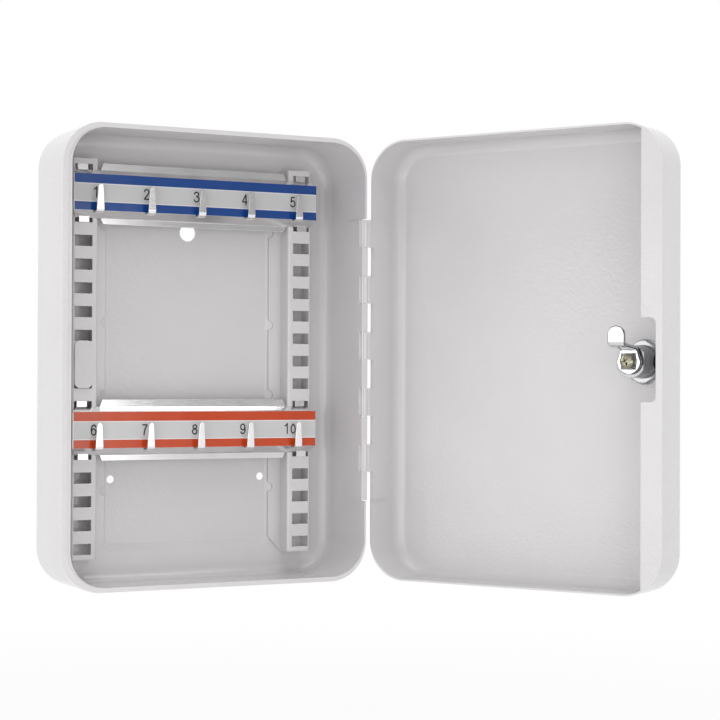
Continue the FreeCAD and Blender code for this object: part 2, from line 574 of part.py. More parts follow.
def build_hook(label):
    """Flat hook: a foot that runs forward under the rail, a bend and a tapering upright."""
    body = new_body(label)
    face = "sizes.rail_face"
    foot = f"({face} - sizes.hook_reach)"
    tip = f"({foot} - sizes.hook_lean)"
    under = "-sizes.hook_root"
    over = f"({under} + sizes.hook_sheet)"
    inside = f"({face} + sizes.rail_sheet)"
    side = new_sketch(body, "YZ_Plane")
    draw_polygon(side, [(inside, under), (inside, over), (f"{foot} + sizes.hook_sheet", over),
                        (f"{tip} + sizes.hook_sheet", "sizes.hook_tip"), (tip, "sizes.hook_tip"),
                        (foot, under)])
    pad(body, side, "sizes.hook_width", both_ways=True)
    low_bend = [worth(foot)]
    round_off(body, "sizes.hook_bend",
              lambda edge: straight_along(edge, AXIS_X) and at(edge, AXIS_Y, low_bend))
    high_bend = [worth(f"{foot} + sizes.hook_sheet")]
    round_off(body, "sizes.hook_bend - sizes.hook_sheet",
              lambda edge: straight_along(edge, AXIS_X) and at(edge, AXIS_Y, high_bend))
    taper = new_sketch(body, "XZ_Plane", f"-({tip}) + sizes.hook_sheet")
    for sign in ("-", ""):
        draw_polygon(taper, [(f"{sign}{half('hook_width')}", f"{under} + sizes.hook_bend"),
                             (f"{sign}{half('hook_tip_width')}", "sizes.hook_tip"),
                             (f"{sign}sizes.hook_width", "sizes.hook_tip"),
                             (f"{sign}sizes.hook_width", f"{under} + sizes.hook_bend")])
    pocket(body, taper, "sizes.hook_reach")
    top = [worth("sizes.hook_tip")]
    round_off(body, f"{half('hook_tip_width')} - sizes.corner_flat",
              lambda edge: at(edge, AXIS_Z, top) and abs(edge.BoundBox.XLength) < SAME_PLACE)
    return body


def build_rail_plate(label):
    """Channel-shaped strip with bevelled edges, rear lips and tabs for the slots."""
    body = new_body(label)
    face = "sizes.rail_face"
    rear = "(sizes.support_face - sizes.rail_gap)"
    sheet_in = f"({face} + sizes.rail_sheet)"
    high = "sizes.rail_half_height"
    rear_high = f"({high} + sizes.upper_bevel)"
    rear_low = f"({high} + sizes.lower_bevel)"
    upper_slope = "(sizes.upper_bevel / sizes.rail_projection)"
    lower_slope = "(sizes.lower_bevel / sizes.rail_projection)"
    upper_thick = f"(sizes.rail_sheet * sqrt(1 + {upper_slope}^2))"
    lower_thick = f"(sizes.rail_sheet * sqrt(1 + {lower_slope}^2))"
    section = new_sketch(body, "YZ_Plane")
    draw_polygon(section, [
        (rear, rear_high), (face, high), (face, f"-{high}"), (rear, f"-{rear_low}"),
        (rear, f"{lower_thick} - {rear_low}"),
        (sheet_in, f"{lower_thick} - {high} - {lower_slope} * sizes.rail_sheet"),
        (sheet_in, f"{high} + {upper_slope} * sizes.rail_sheet - {upper_thick}"),
        (rear, f"{rear_high} - {upper_thick}")])
    pad(body, section, "2 * sizes.rail_half_length", both_ways=True)

    mitres = new_sketch(body, "XY_Plane", "2 * sizes.rail_half_height")
    short = "(sizes.rail_half_length - sizes.rail_mitre)"
    for sign in ("-", ""):
        draw_polygon(mitres, [(f"{sign}sizes.rail_half_length", face), (f"{sign}{short}", rear),
                              (f"{sign}(sizes.rail_half_length + sizes.rail_mitre)", rear)])
    pocket(body, mitres, "4 * sizes.rail_half_height")

    lip = new_sketch(body, "XZ_Plane", f"-{rear}")
    for edge, end in ((f"{rear_high} - {upper_thick}", "sizes.lip_rise"),
                      (f"{lower_thick} - {rear_low}", "-sizes.lip_drop")):
        draw_polygon(lip, [("-sizes.lip_half_length", edge), ("sizes.lip_half_length", edge),
                           ("sizes.lip_half_length - sizes.lip_slant", end),
                           ("sizes.lip_slant - sizes.lip_half_length", end)])
    pad(body, lip, "sizes.rail_sheet", back=True)

    hold = "(sizes.support_face + sizes.support_sheet + sizes.tab_hold)"
    out = f"({hold} + sizes.rail_sheet)"
    web = f"({rear} - sizes.rail_sheet)"
    seat = "(sizes.rail_slot_offset + sizes.rail_gap)"
    low_seat = "(sizes.rail_slot_offset + sizes.rail_gap - 2 * sizes.slot_spacing)"
    upper_end = "(sizes.rail_slot_offset + sizes.slot_height + sizes.rail_gap)"
    lower_end = "(sizes.rail_slot_offset - 2 * sizes.slot_spacing - sizes.tab_grip)"
    for sign in ("-", ""):
        near = f"{sign}(sizes.tab_inner + {half('tab_width')})"
        tab = new_sketch(body, "YZ_Plane", near)
        draw_polygon(tab, [
            (web, seat), (out, seat), (out, upper_end), (hold, upper_end),
            (hold, f"{seat} + sizes.rail_sheet"), (rear, f"{seat} + sizes.rail_sheet"),
            (rear, rear_high), (web, f"{rear_high} - {upper_thick}")])
        draw_polygon(tab, [
            (web, f"{lower_thick} - {rear_low}"), (rear, f"{lower_thick} - {rear_low}"),
            (rear, f"{low_seat} + sizes.rail_sheet"), (out, f"{low_seat} + sizes.rail_sheet"),
            (out, lower_end), (hold, lower_end), (hold, low_seat), (web, low_seat)])
        pad(body, tab, "sizes.tab_width", both_ways=True)
    return body


def build_hook_rail(label, slot_size):
    """Rail with its row of hooks, seated in the slots of both supports."""
    height = f"sizes.slot_top - sizes.slot_height - sizes.{slot_size} * sizes.slot_spacing"
    pieces = [build_rail_plate(f"{label}_plate")]
    for index in range(int(worth("sizes.hook_count"))):
        hook = build_hook(f"{label}_hook_{index + 1}")
        hook.setExpression(".Placement.Base.x",
                           f"({index} - (sizes.hook_count - 1) / 2) * sizes.hook_spacing")
        pieces.append(hook)
    rail = doc.addObject("Part::MultiFuse", label)
    rail.Shapes = pieces
    rail.Refine = True
    rail.setExpression(".Placement.Base.z", f"{height} - sizes.rail_slot_offset")
    finished(rail, label)


def build_number_strip(label, slot_size):
    """Thin strip on a rail's front face that carries the hook numbers."""
    height = f"sizes.slot_top - sizes.slot_height - sizes.{slot_size} * sizes.slot_spacing"
    length = "(sizes.rail_half_length - sizes.strip_margin)"
    strip = doc.addObject("Part::Box", label)
    bind(strip, Length=f"2 * {length}", Width="sizes.strip_thickness",
         Height="2 * sizes.rail_half_height")
    strip.setExpression(".Placement.Base.x", f"-{length}")
    strip.setExpression(".Placement.Base.y", "sizes.rail_face - sizes.strip_thickness")
    strip.setExpression(".Placement.Base.z",
                        f"{height} - sizes.rail_slot_offset - sizes.rail_half_height")
    finished(strip, label)


def build_hinge_leaf(label, first_knuckle, plate_from, plate_to, arm_from, near, far):
    """Leaf of the long hinge: a plate on the wall's inside, arms and every other knuckle."""
    body = new_body(label)
    wall = "-(sizes.hinge_side_gap + sizes.sheet_wall)"
    inside = f"({wall} - sizes.leaf_sheet)"
    reach = "(sizes.knuckle_pairs * sizes.knuckle_spacing)"
    plate = new_sketch(body, "XY_Plane")
    draw_rectangle(plate, inside, wall, plate_from, plate_to)
    pad(body, plate, f"2 * {reach}", both_ways=True)

    foot = f"{first_knuckle} * sizes.knuckle_spacing - {reach} + {half('knuckle_gap')}"
    long = "sizes.knuckle_spacing - sizes.knuckle_gap"
    arm = new_sketch(body, "XY_Plane", foot)
    draw_polygon(arm, [(inside, arm_from), (wall, arm_from), (wall, near), ("0", near),
                       ("0", far), (inside, far)])
    arm_pad = pad(body, arm, long)
    drum = new_sketch(body, "XY_Plane", foot)
    draw_circle(drum, "0", "0", "sizes.knuckle_radius")
    drum_pad = pad(body, drum, long)
    repeat(body, [arm_pad, drum_pad], drum, "N_Axis",
           "2 * sizes.knuckle_spacing * (sizes.knuckle_pairs - 1)", "sizes.knuckle_pairs")
    bore = new_sketch(body, "XY_Plane", reach)
    draw_circle(bore, "0", "0", "sizes.pin_radius + sizes.pin_clearance")
    pocket(body, bore, f"2 * {reach}")
    finished(body, label)
    return body


def build_hinge():
    """Long hinge between cabinet and door: two leaves and the pin through their knuckles."""
    outer, inner = "-sizes.knuckle_radius", "(sizes.leaf_sheet - sizes.knuckle_radius)"
    cabinet_leaf = build_hinge_leaf("cabinet_hinge_leaf", 0, "sizes.leaf_setback",
                                    "sizes.leaf_setback + sizes.leaf_depth",
                                    "sizes.leaf_setback + sizes.leaf_sheet", inner, outer)
    cabinet_leaf.setExpression(".Placement.Base.x", "sizes.hinge_x")
    cabinet_leaf.setExpression(".Placement.Base.y", "sizes.hinge_y")
    edge = "-(sizes.door_rim + sizes.door_leaf_setback)"
    door_leaf = build_hinge_leaf("door_hinge_leaf", 1, f"{edge} - sizes.leaf_depth", edge,
                                 f"{edge} - sizes.leaf_sheet", outer, inner)
    hang(door_leaf)
    pin = doc.addObject("Part::Cylinder", "hinge_pin")
    bind(pin, Radius="sizes.pin_radius", Height="2 * sizes.knuckle_pairs * sizes.knuckle_spacing")
    pin.setExpression(".Placement.Base.x", "sizes.hinge_x")
    pin.setExpression(".Placement.Base.y", "sizes.hinge_y")
    pin.setExpression(".Placement.Base.z", "-sizes.knuckle_pairs * sizes.knuckle_spacing")
    finished(pin, "hinge_pin")


def build_door_shell():
    """Door tray with round corners, a round front edge and the hole for the lock."""
    body = new_body("door_shell")
    near = "-sizes.hinge_side_gap"
    far = "(-sizes.hinge_side_gap - sizes.cabinet_width)"
    tray_block(body, far, near, "sizes.door_rim", "sizes.door_depth")
    tray_cavity(body, f"{far} + sizes.sheet_wall", f"{near} - sizes.sheet_wall",
                "sizes.door_rim", "(sizes.door_depth - sizes.sheet_wall)", back=True)
    tray_outside(body, "-sizes.panel_front")
    hole = new_sketch(body, "XZ_Plane", "sizes.panel_front")
    draw_circle(hole, "sizes.lock_x", "sizes.lock_rise", "sizes.barrel_radius + sizes.barrel_play")
    pocket(body, hole, "2 * sizes.sheet_wall")
    hang(body)
    finished(body, "door_shell")


def build_door_lock_lip():
    """Folded strip inside the door's lock-side rim, cut out where the cam turns."""
    body = new_body("door_lock_lip")
    far = "(sizes.sheet_wall - sizes.hinge_side_gap - sizes.cabinet_width)"
    edge = f"({far} - sizes.sheet_wall + sizes.door_lip_width)"
    top = f"({half('cabinet_height')} - sizes.sheet_wall)"
    leg = new_sketch(body, "XZ_Plane", "sizes.door_rim")
    draw_rectangle(leg, far, f"{edge} + sizes.corner_radius", f"-{top}", top)
    pad(body, leg, "sizes.door_lip_sheet")
    lock_side = [worth(far)]
    round_off(body, "sizes.corner_radius - sizes.sheet_wall",
              lambda one: straight_along(one, AXIS_Y) and at(one, AXIS_X, lock_side))
    spare = new_sketch(body, "XZ_Plane", "sizes.door_rim + 2 * sizes.door_lip_sheet")
    draw_rectangle(spare, edge, f"{edge} + 2 * sizes.corner_radius", f"-{half('cabinet_height')}",
                   half("cabinet_height"))
    pocket(body, spare, "3 * sizes.door_lip_sheet")

    fold = new_sketch(body, "XZ_Plane", "sizes.door_rim")
    short = f"({top} - sizes.door_lip_short - sizes.door_lip_sheet)"
    draw_rectangle(fold, f"{edge} - sizes.door_lip_sheet", edge, f"-{short}", short)
    pad(body, fold, "sizes.door_lip_depth")

    cut = new_sketch(body, "XZ_Plane", "sizes.door_rim + 2 * sizes.door_lip_depth")
    draw_rectangle(cut, f"{far} - sizes.sheet_wall + sizes.lip_cut_reach", f"{edge} + sizes.sheet_wall",
                   "sizes.lock_rise - sizes.lip_cut_down", "sizes.lock_rise + sizes.lip_cut_up")
    pocket(body, cut, "3 * sizes.door_lip_depth")
    deep = [worth(f"{far} - sizes.sheet_wall + sizes.lip_cut_reach")]
    round_off(body, "sizes.lip_cut_corner",
              lambda one: straight_along(one, AXIS_Y) and at(one, AXIS_X, deep))
    hang(body)
    finished(body, "door_lock_lip")


def build_lock_housing():
    """Flatted barrel with a round head outside the door and an end stop at its rear."""
    body = new_body("lock_housing")
    barrel = new_sketch(body, "XZ_Plane", "sizes.barrel_rear")
    draw_circle(barrel, "sizes.lock_x", "sizes.lock_rise", "sizes.barrel_radius")
    pad(body, barrel, "sizes.barrel_length")
    flats = new_sketch(body, "XZ_Plane", "sizes.panel_front")
    for sign in ("-", "+"):
        draw_rectangle(flats, f"sizes.lock_x {sign} sizes.barrel_flat",
                       f"sizes.lock_x {sign} sizes.lock_head_radius",
                       "sizes.lock_rise - sizes.barrel_radius", "sizes.lock_rise + sizes.barrel_radius")
    pocket(body, flats, "sizes.barrel_length + sizes.stop_sheet")
    stop = new_sketch(body, "XZ_Plane", "sizes.barrel_rear")
    draw_circle(stop, "sizes.lock_x", "sizes.lock_rise", "sizes.barrel_radius")
    pad(body, stop, "sizes.stop_sheet", back=True)
    flat_stop = new_sketch(body, "XZ_Plane", "sizes.barrel_rear")
    for sign in ("-", "+"):
        draw_rectangle(flat_stop, f"sizes.lock_x {sign} sizes.barrel_flat",
                       f"sizes.lock_x {sign} sizes.lock_head_radius",
                       "sizes.lock_rise - sizes.barrel_radius", "sizes.lock_rise + sizes.barrel_radius")
    pocket(body, flat_stop, "2 * sizes.stop_sheet")
    room = new_sketch(body, "XZ_Plane", "sizes.barrel_rear")
    inner = "(sizes.barrel_radius - sizes.stop_rim)"
    draw_circle(room, "sizes.lock_x", "sizes.lock_rise", inner)
    pocket(body, room, "2 * sizes.stop_sheet")
    lug = f"({half('stop_lug_width')} + sizes.stop_play)"
    way = new_sketch(body, "XZ_Plane", "sizes.barrel_rear")
    draw_polygon(way, [
        (f"sizes.lock_x + {lug}", f"sizes.lock_rise - {lug}"),
        (f"sizes.lock_x + {lug}", "sizes.lock_rise + 2 * sizes.barrel_radius"),
        ("sizes.lock_x - 2 * sizes.barrel_radius", "sizes.lock_rise + 2 * sizes.barrel_radius"),
        ("sizes.lock_x - 2 * sizes.barrel_radius", f"sizes.lock_rise - {lug}")])
    pocket(body, way, "2 * sizes.stop_sheet")
    head = new_sketch(body, "XZ_Plane", "sizes.panel_front")
    draw_circle(head, "sizes.lock_x", "sizes.lock_rise", "sizes.lock_head_radius")
    pad(body, head, "sizes.lock_head_height")
    outside = [worth("-(sizes.panel_front + sizes.lock_head_height)")]
    round_off(body, "sizes.lock_head_round", lambda edge: at(edge, AXIS_Y, outside))
    bore = new_sketch(body, "XZ_Plane", "sizes.panel_front + sizes.lock_head_height")
    draw_circle(bore, "sizes.lock_x", "sizes.lock_rise", "sizes.plug_radius + sizes.plug_clearance")
    pocket(body, bore, "sizes.lock_head_height + sizes.barrel_length")
    hang(body)
    finished(body, "lock_housing")


def build_lock_nut():
    """Hexagon nut that clamps the barrel to the door panel."""
    body = new_body("lock_nut")
    seat = "(sizes.panel_front - sizes.sheet_wall - sizes.washer_height)"
    corner = "(sizes.nut_flats / sqrt(3))"
    outline = new_sketch(body, "XZ_Plane", seat)
    ring = []
    for step in range(6):
        turn = f"{60 * step + 30} deg"
        ring.append((f"sizes.lock_x + {corner} * cos({turn})",
                     f"sizes.lock_rise + {corner} * sin({turn})"))
    draw_polygon(outline, ring)
    pad(body, outline, "sizes.nut_height", back=True)
    dome = doc.addObject("Part::Cylinder", "lock_nut_round")
    bind(dome, Radius=f"{corner} - sizes.nut_chamfer / 4", Height="sizes.nut_height")
    bevel = doc.addObject("Part::Chamfer", "lock_nut_bevel")
    bevel.Base = dome
    doc.recompute()
    faces = [n for n, edge in enumerate(dome.Shape.Edges, start=1)
             if isinstance(edge.Curve, Part.Circle)]
    bevel.Edges = [(n, worth("sizes.nut_chamfer / 2"), worth("sizes.nut_chamfer")) for n in faces]
    bevel.Placement.Rotation = FreeCAD.Rotation(AXIS_X, 90)
    bevel.setExpression(".Placement.Base.x", "sizes.lock_x")
    bevel.setExpression(".Placement.Base.y", f"sizes.nut_height - {seat}")
    bevel.setExpression(".Placement.Base.z", "sizes.lock_rise")
    blank = doc.addObject("Part::Common", "lock_nut_blank")
    blank.Base = body
    blank.Tool = bevel
    nut = doc.addObject("Part::Cut", "lock_nut_bored")
    nut.Base = blank
    nut.Tool = lock_bore("lock_nut_bore", "sizes.barrel_radius + sizes.thread_clearance")
    hang(nut)
    body.Label = "lock_nut_outline"
    finished(nut, "lock_nut")


def lock_disc(label, radius, rear, height):
    """Round disc on the lock axis from a distance in front of the hinge axis outwards."""
    disc = doc.addObject("Part::Cylinder", label)
    bind(disc, Radius=radius, Height=height)
    disc.Placement.Rotation = FreeCAD.Rotation(AXIS_X, 90)
    disc.setExpression(".Placement.Base.x", "sizes.lock_x")
    disc.setExpression(".Placement.Base.y", f"-({rear})")
    disc.setExpression(".Placement.Base.z", "sizes.lock_rise")
    return disc


def lock_bore(label, radius):
    """Long cutter on the lock axis."""
    return lock_disc(label, radius, "0", "2 * sizes.panel_front")


def ring_on_lock(label, radius, hole, rear, height):
    """Flat washer on the lock axis."""
    ring = doc.addObject("Part::Cut", label)
    ring.Base = lock_disc(f"{label}_disc", radius, rear, height)
    ring.Tool = lock_bore(f"{label}_hole", hole)
    hang(ring)
    finished(ring, label)


def build_lock_plug():
    """Turning plug with keyway, wafer slots, square drive and the tapped hole in its end."""
    body = new_body("lock_plug")
    shoulder = "(sizes.barrel_rear - sizes.plug_stick_out)"
    front = "(sizes.panel_front + sizes.lock_head_height - sizes.plug_recess)"
    round_part = new_sketch(body, "XZ_Plane", shoulder)
    draw_circle(round_part, "sizes.lock_x", "sizes.lock_rise", "sizes.plug_radius")
    pad(body, round_part, f"{front} - {shoulder}")
    square = new_sketch(body, "XZ_Plane", shoulder)
    size = half("square_size")
    draw_rectangle(square, f"sizes.lock_x - {size}", f"sizes.lock_x + {size}",
                   f"sizes.lock_rise - {size}", f"sizes.lock_rise + {size}")
    pad(body, square, f"{shoulder} - sizes.cam_front - sizes.square_short", back=True)
    keyway = new_sketch(body, "XZ_Plane", front)
    draw_rectangle(keyway, f"sizes.lock_x - {half('keyway_width')}",
                   f"sizes.lock_x + {half('keyway_width')}",
                   f"sizes.lock_rise - {half('keyway_height')}",
                   f"sizes.lock_rise + {half('keyway_height')}")
    pocket(body, keyway, "sizes.keyway_depth")
    slot_wide = "(sizes.wafer_width / 2 + sizes.wafer_play)"
    slots = new_sketch(body, "YZ_Plane", f"sizes.lock_x + {slot_wide}")
    for index in range(int(worth("sizes.wafer_count"))):
        place = f"sizes.wafer_first + {index} * sizes.wafer_spacing - {front}"
        draw_rectangle(slots, f"{place} - sizes.wafer_play",
                       f"{place} + sizes.wafer_thickness + sizes.wafer_play",
                       "sizes.lock_rise - 2 * sizes.plug_radius",
                       "sizes.lock_rise + 2 * sizes.plug_radius")
    pocket(body, slots, f"2 * {slot_wide}")
    tapped = new_sketch(body, "XZ_Plane", "sizes.cam_front")
    draw_circle(tapped, "sizes.lock_x", "sizes.lock_rise", "sizes.screw_radius + sizes.screw_clearance")
    pocket(body, tapped, "sizes.screw_length + sizes.screw_clearance", back=True)
    hang(body)
    finished(body, "lock_plug")


def build_lock_wafers():
    """Row of flat wafers in the plug, each with its window for the key."""
    front = "(sizes.panel_front + sizes.lock_head_height - sizes.plug_recess)"
    wafers = []
    for index in range(int(worth("sizes.wafer_count"))):
        place = f"sizes.wafer_first + {index} * sizes.wafer_spacing - {front}"
        plate = lock_box(f"wafer_plate_{index + 1}", half("wafer_width"), half("wafer_height"),
                         place, "sizes.wafer_thickness")
        window = lock_box(f"wafer_window_{index + 1}", half("keyway_width"),
                          half("keyway_height"), place, "sizes.wafer_thickness")
        wafer = doc.addObject("Part::Cut", f"wafer_{index + 1}")
        wafer.Base = plate
        wafer.Tool = window
        wafers.append(wafer)
    group = doc.addObject("Part::Compound", "lock_wafers")
    group.Links = wafers
    hang(group)
    finished(group, "lock_wafers")


def lock_box(label, half_width, half_height, rear, thickness):
    """Flat plate centred on the lock axis, from a place along Y towards the cabinet."""
    box = doc.addObject("Part::Box", label)
    bind(box, Length=f"2 * ({half_width})", Width=thickness, Height=f"2 * ({half_height})")
    box.setExpression(".Placement.Base.x", f"sizes.lock_x - ({half_width})")
    box.setExpression(".Placement.Base.y", rear)
    box.setExpression(".Placement.Base.z", f"sizes.lock_rise - ({half_height})")
    return box


def build_turn_stop():
    """Notched disc on the square whose lug meets the barrel's end stops at a quarter turn."""
    disc = lock_disc("turn_stop_disc", "sizes.stop_radius", "sizes.cam_rear", "sizes.stop_sheet")
    lug = lock_box("turn_stop_lug", half("stop_lug_width"), "sizes.barrel_radius / 2",
                   "-(sizes.cam_rear + sizes.stop_sheet)", "sizes.stop_sheet")
    lug.setExpression(".Placement.Base.z", "sizes.lock_rise")
    blank = doc.addObject("Part::Fuse", "turn_stop_blank")
    blank.Base = disc
    blank.Tool = lug
    side = f"({half('square_size')} + sizes.square_play)"
    stop = doc.addObject("Part::Cut", "turn_stop")
    stop.Base = blank
    stop.Tool = lock_box("turn_stop_square", side, side, "-2 * sizes.cam_rear",
                         "2 * sizes.cam_rear")
    hang(stop)
    finished(stop, "turn_stop")


def build_lock_cam():
    """Cam with a deep step: flat on the square, then set back into the cabinet, round tongue."""
    body = new_body("lock_cam")
    rear = "-sizes.cam_rear"
    front = "-sizes.cam_front"
    tongue_rear = f"({rear} + sizes.cam_step)"
    tongue_front = f"({front} + sizes.cam_step)"
    axis = "sizes.lock_rise"
    side = new_sketch(body, "YZ_Plane", "sizes.lock_x")
    draw_polygon(side, [
        (rear, f"{axis} - sizes.cam_half_width"),
        (rear, f"{axis} + sizes.cam_knee + sizes.cam_sheet"),
        (tongue_rear, f"{axis} + sizes.cam_knee + sizes.cam_sheet + sizes.cam_rake"),
        (tongue_rear, f"{axis} + sizes.tongue_end"), (tongue_front, f"{axis} + sizes.tongue_end"),
        (tongue_front, f"{axis} + sizes.cam_knee + sizes.cam_rake"),
        (front, f"{axis} + sizes.cam_knee"), (front, f"{axis} - sizes.cam_half_width")])
    pad(body, side, "2 * sizes.cam_half_width", both_ways=True)
    bends = [worth(f"{axis} + sizes.cam_knee + sizes.cam_sheet"),
             worth(f"{axis} + sizes.cam_knee + sizes.cam_rake")]
    round_off(body, "sizes.cam_bend",
              lambda edge: straight_along(edge, AXIS_X) and at(edge, AXIS_Z, bends))
    low = [worth(f"{axis} - sizes.cam_half_width")]
    round_off(body, "sizes.cam_half_width - sizes.corner_flat",
              lambda edge: straight_along(edge, AXIS_Y) and at(edge, AXIS_Z, low))
    waist = new_sketch(body, "XZ_Plane", "sizes.cam_rear + sizes.cam_sheet")
    for sign in ("-", "+"):
        draw_polygon(waist, [
            (f"sizes.lock_x {sign} sizes.cam_half_width", axis),
            (f"sizes.lock_x {sign} sizes.tongue_half_width", f"{axis} + sizes.cam_knee"),
            (f"sizes.lock_x {sign} sizes.tongue_half_width", f"{axis} + 2 * sizes.tongue_end"),
            (f"sizes.lock_x {sign} 2 * sizes.cam_half_width", f"{axis} + 2 * sizes.tongue_end"),
            (f"sizes.lock_x {sign} 2 * sizes.cam_half_width", axis)])
    pocket(body, waist, "2 * sizes.cam_step")
    end = [worth(f"{axis} + sizes.tongue_end")]
    round_off(body, "sizes.tongue_corner",
              lambda edge: straight_along(edge, AXIS_Y) and at(edge, AXIS_Z, end))
    square = new_sketch(body, "XZ_Plane", "sizes.cam_rear + sizes.cam_sheet")
    size = f"({half('square_size')} + sizes.square_play)"
    draw_rectangle(square, f"sizes.lock_x - {size}", f"sizes.lock_x + {size}",
                   f"{axis} - {size}", f"{axis} + {size}")
    pocket(body, square, "3 * sizes.cam_sheet")
    hang(body)
    finished(body, "lock_cam")


def build_cam_screw():
    """Pan-head screw with a cross recess that holds the cam on the plug."""
    body = new_body("cam_screw")
    under = "(sizes.cam_front - sizes.cam_washer_height)"
    head = new_sketch(body, "XZ_Plane", under)
    draw_circle(head, "sizes.lock_x", "sizes.lock_rise", "sizes.screw_head_radius")
    pad(body, head, "sizes.screw_head_height", back=True)
    top = [worth(f"sizes.screw_head_height - {under}")]
    round_off(body, "sizes.screw_head_round", lambda edge: at(edge, AXIS_Y, top))
    shank = new_sketch(body, "XZ_Plane", under)
    draw_circle(shank, "sizes.lock_x", "sizes.lock_rise", "sizes.screw_radius")
    pad(body, shank, "sizes.screw_length")
    cross = new_sketch(body, "XZ_Plane", f"{under} - sizes.screw_head_height")
    near = half("cross_width")
    far = half("cross_span")
    arms = [(far, near), (near, near), (near, far)]
    outline = []
    for across, up in (("+", "+"), ("-", "+"), ("-", "-"), ("+", "-")):
        corner = arms if across == up else arms[::-1]
        outline += [(f"sizes.lock_x {across} {one}", f"sizes.lock_rise {up} {two}")
                    for one, two in corner]
    draw_polygon(cross, outline)
    pocket(body, cross, "sizes.cross_depth", back=True)
    hang(body)
    finished(body, "cam_screw")


build_cabinet_shell()
build_lock_keeper()
build_slotted_support("left_slotted_support", "-")
build_slotted_support("right_slotted_support", "")
build_blanking_plate()
build_hinge()
for name, slot_size in (("upper", "upper_rail_slot"), ("lower", "lower_rail_slot")):
    build_hook_rail(f"{name}_hook_rail", slot_size)
    build_number_strip(f"{name}_number_strip", slot_size)
build_door_shell()
build_door_lock_lip()
build_lock_housing()
ring_on_lock("lock_washer", "sizes.washer_radius", "sizes.barrel_radius + sizes.thread_clearance",
             "(sizes.panel_front - sizes.sheet_wall - sizes.washer_height)", "sizes.washer_height")
build_lock_nut()
build_lock_plug()
build_lock_wafers()
build_turn_stop()
build_lock_cam()
ring_on_lock("cam_washer", "sizes.cam_washer_radius", "sizes.screw_radius + sizes.screw_clearance",
             "(sizes.cam_front - sizes.cam_washer_height)", "sizes.cam_washer_height")
build_cam_screw()
doc.recompute()

for thing in doc.Objects:
    if "Invalid" in thing.State or "Error" in thing.State:
        raise RuntimeError(f"{thing.Name} failed: {thing.State}")
os.makedirs("parts", exist_ok=True)
for piece in sub_parts:
    shape = piece.Shape
    if shape.isNull() or not shape.isValid() or not shape.Solids:
        raise RuntimeError(f"{piece.Label} has no valid shape")
    shape.exportStep(f"parts/{piece.Label}.step")
    box = shape.BoundBox
    print(f"{piece.Label}: {len(shape.Solids)} solid, {shape.Volume:.1f} mm3, "
          f"x {box.XMin:.1f} {box.XMax:.1f}, y {box.YMin:.1f} {box.YMax:.1f}, "
          f"z {box.ZMin:.1f} {box.ZMax:.1f}")
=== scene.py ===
"""Wall key cabinet: finishes, printed numbers, camera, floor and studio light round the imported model.

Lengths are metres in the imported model's frame: X towards the hinge side, Y into the wall, Z up.
"""
import json
import logging
import math
from dataclasses import dataclass, field
from enum import Enum

import bmesh
import bpy
from mathutils import Matrix, Vector


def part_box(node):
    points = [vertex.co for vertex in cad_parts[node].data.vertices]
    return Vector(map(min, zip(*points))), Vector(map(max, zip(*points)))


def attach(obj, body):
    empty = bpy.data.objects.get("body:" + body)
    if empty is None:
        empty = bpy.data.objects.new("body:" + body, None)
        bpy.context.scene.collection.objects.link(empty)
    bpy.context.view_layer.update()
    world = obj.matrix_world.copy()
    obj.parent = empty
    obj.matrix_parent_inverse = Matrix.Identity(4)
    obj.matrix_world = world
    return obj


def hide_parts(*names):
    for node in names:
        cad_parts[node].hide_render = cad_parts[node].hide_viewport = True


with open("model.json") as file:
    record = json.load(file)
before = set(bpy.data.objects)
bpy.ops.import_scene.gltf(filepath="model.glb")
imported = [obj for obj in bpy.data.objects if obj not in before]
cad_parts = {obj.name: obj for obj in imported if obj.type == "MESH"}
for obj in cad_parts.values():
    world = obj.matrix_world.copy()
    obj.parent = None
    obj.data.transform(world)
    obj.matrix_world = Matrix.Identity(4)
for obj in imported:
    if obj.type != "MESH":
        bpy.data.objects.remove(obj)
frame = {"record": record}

LOG = logging.getLogger("key_cabinet")
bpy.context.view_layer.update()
MM = 0.001
# Most of a noise's values lie between these two.
NOISE_LOW = 0.3
NOISE_HIGH = 0.7
# Places of the colour sockets on a mix node.
MIX_FIRST = 6
MIX_SECOND = 7
MIX_COLOUR = 2

Colour = tuple[float, float, float]
Stroke = tuple[tuple[float, float, bool], ...]


class Band(Enum):
    """Printed edge colour of a number strip."""

    BLUE = (0.005, 0.056, 0.265)
    ORANGE = (0.550, 0.060, 0.012)


class Grain(Enum):
    """Direction in which a metal's fine lines run."""

    ACROSS = (0.04, 1.0, 1.0)
    NONE = (1.0, 1.0, 1.0)


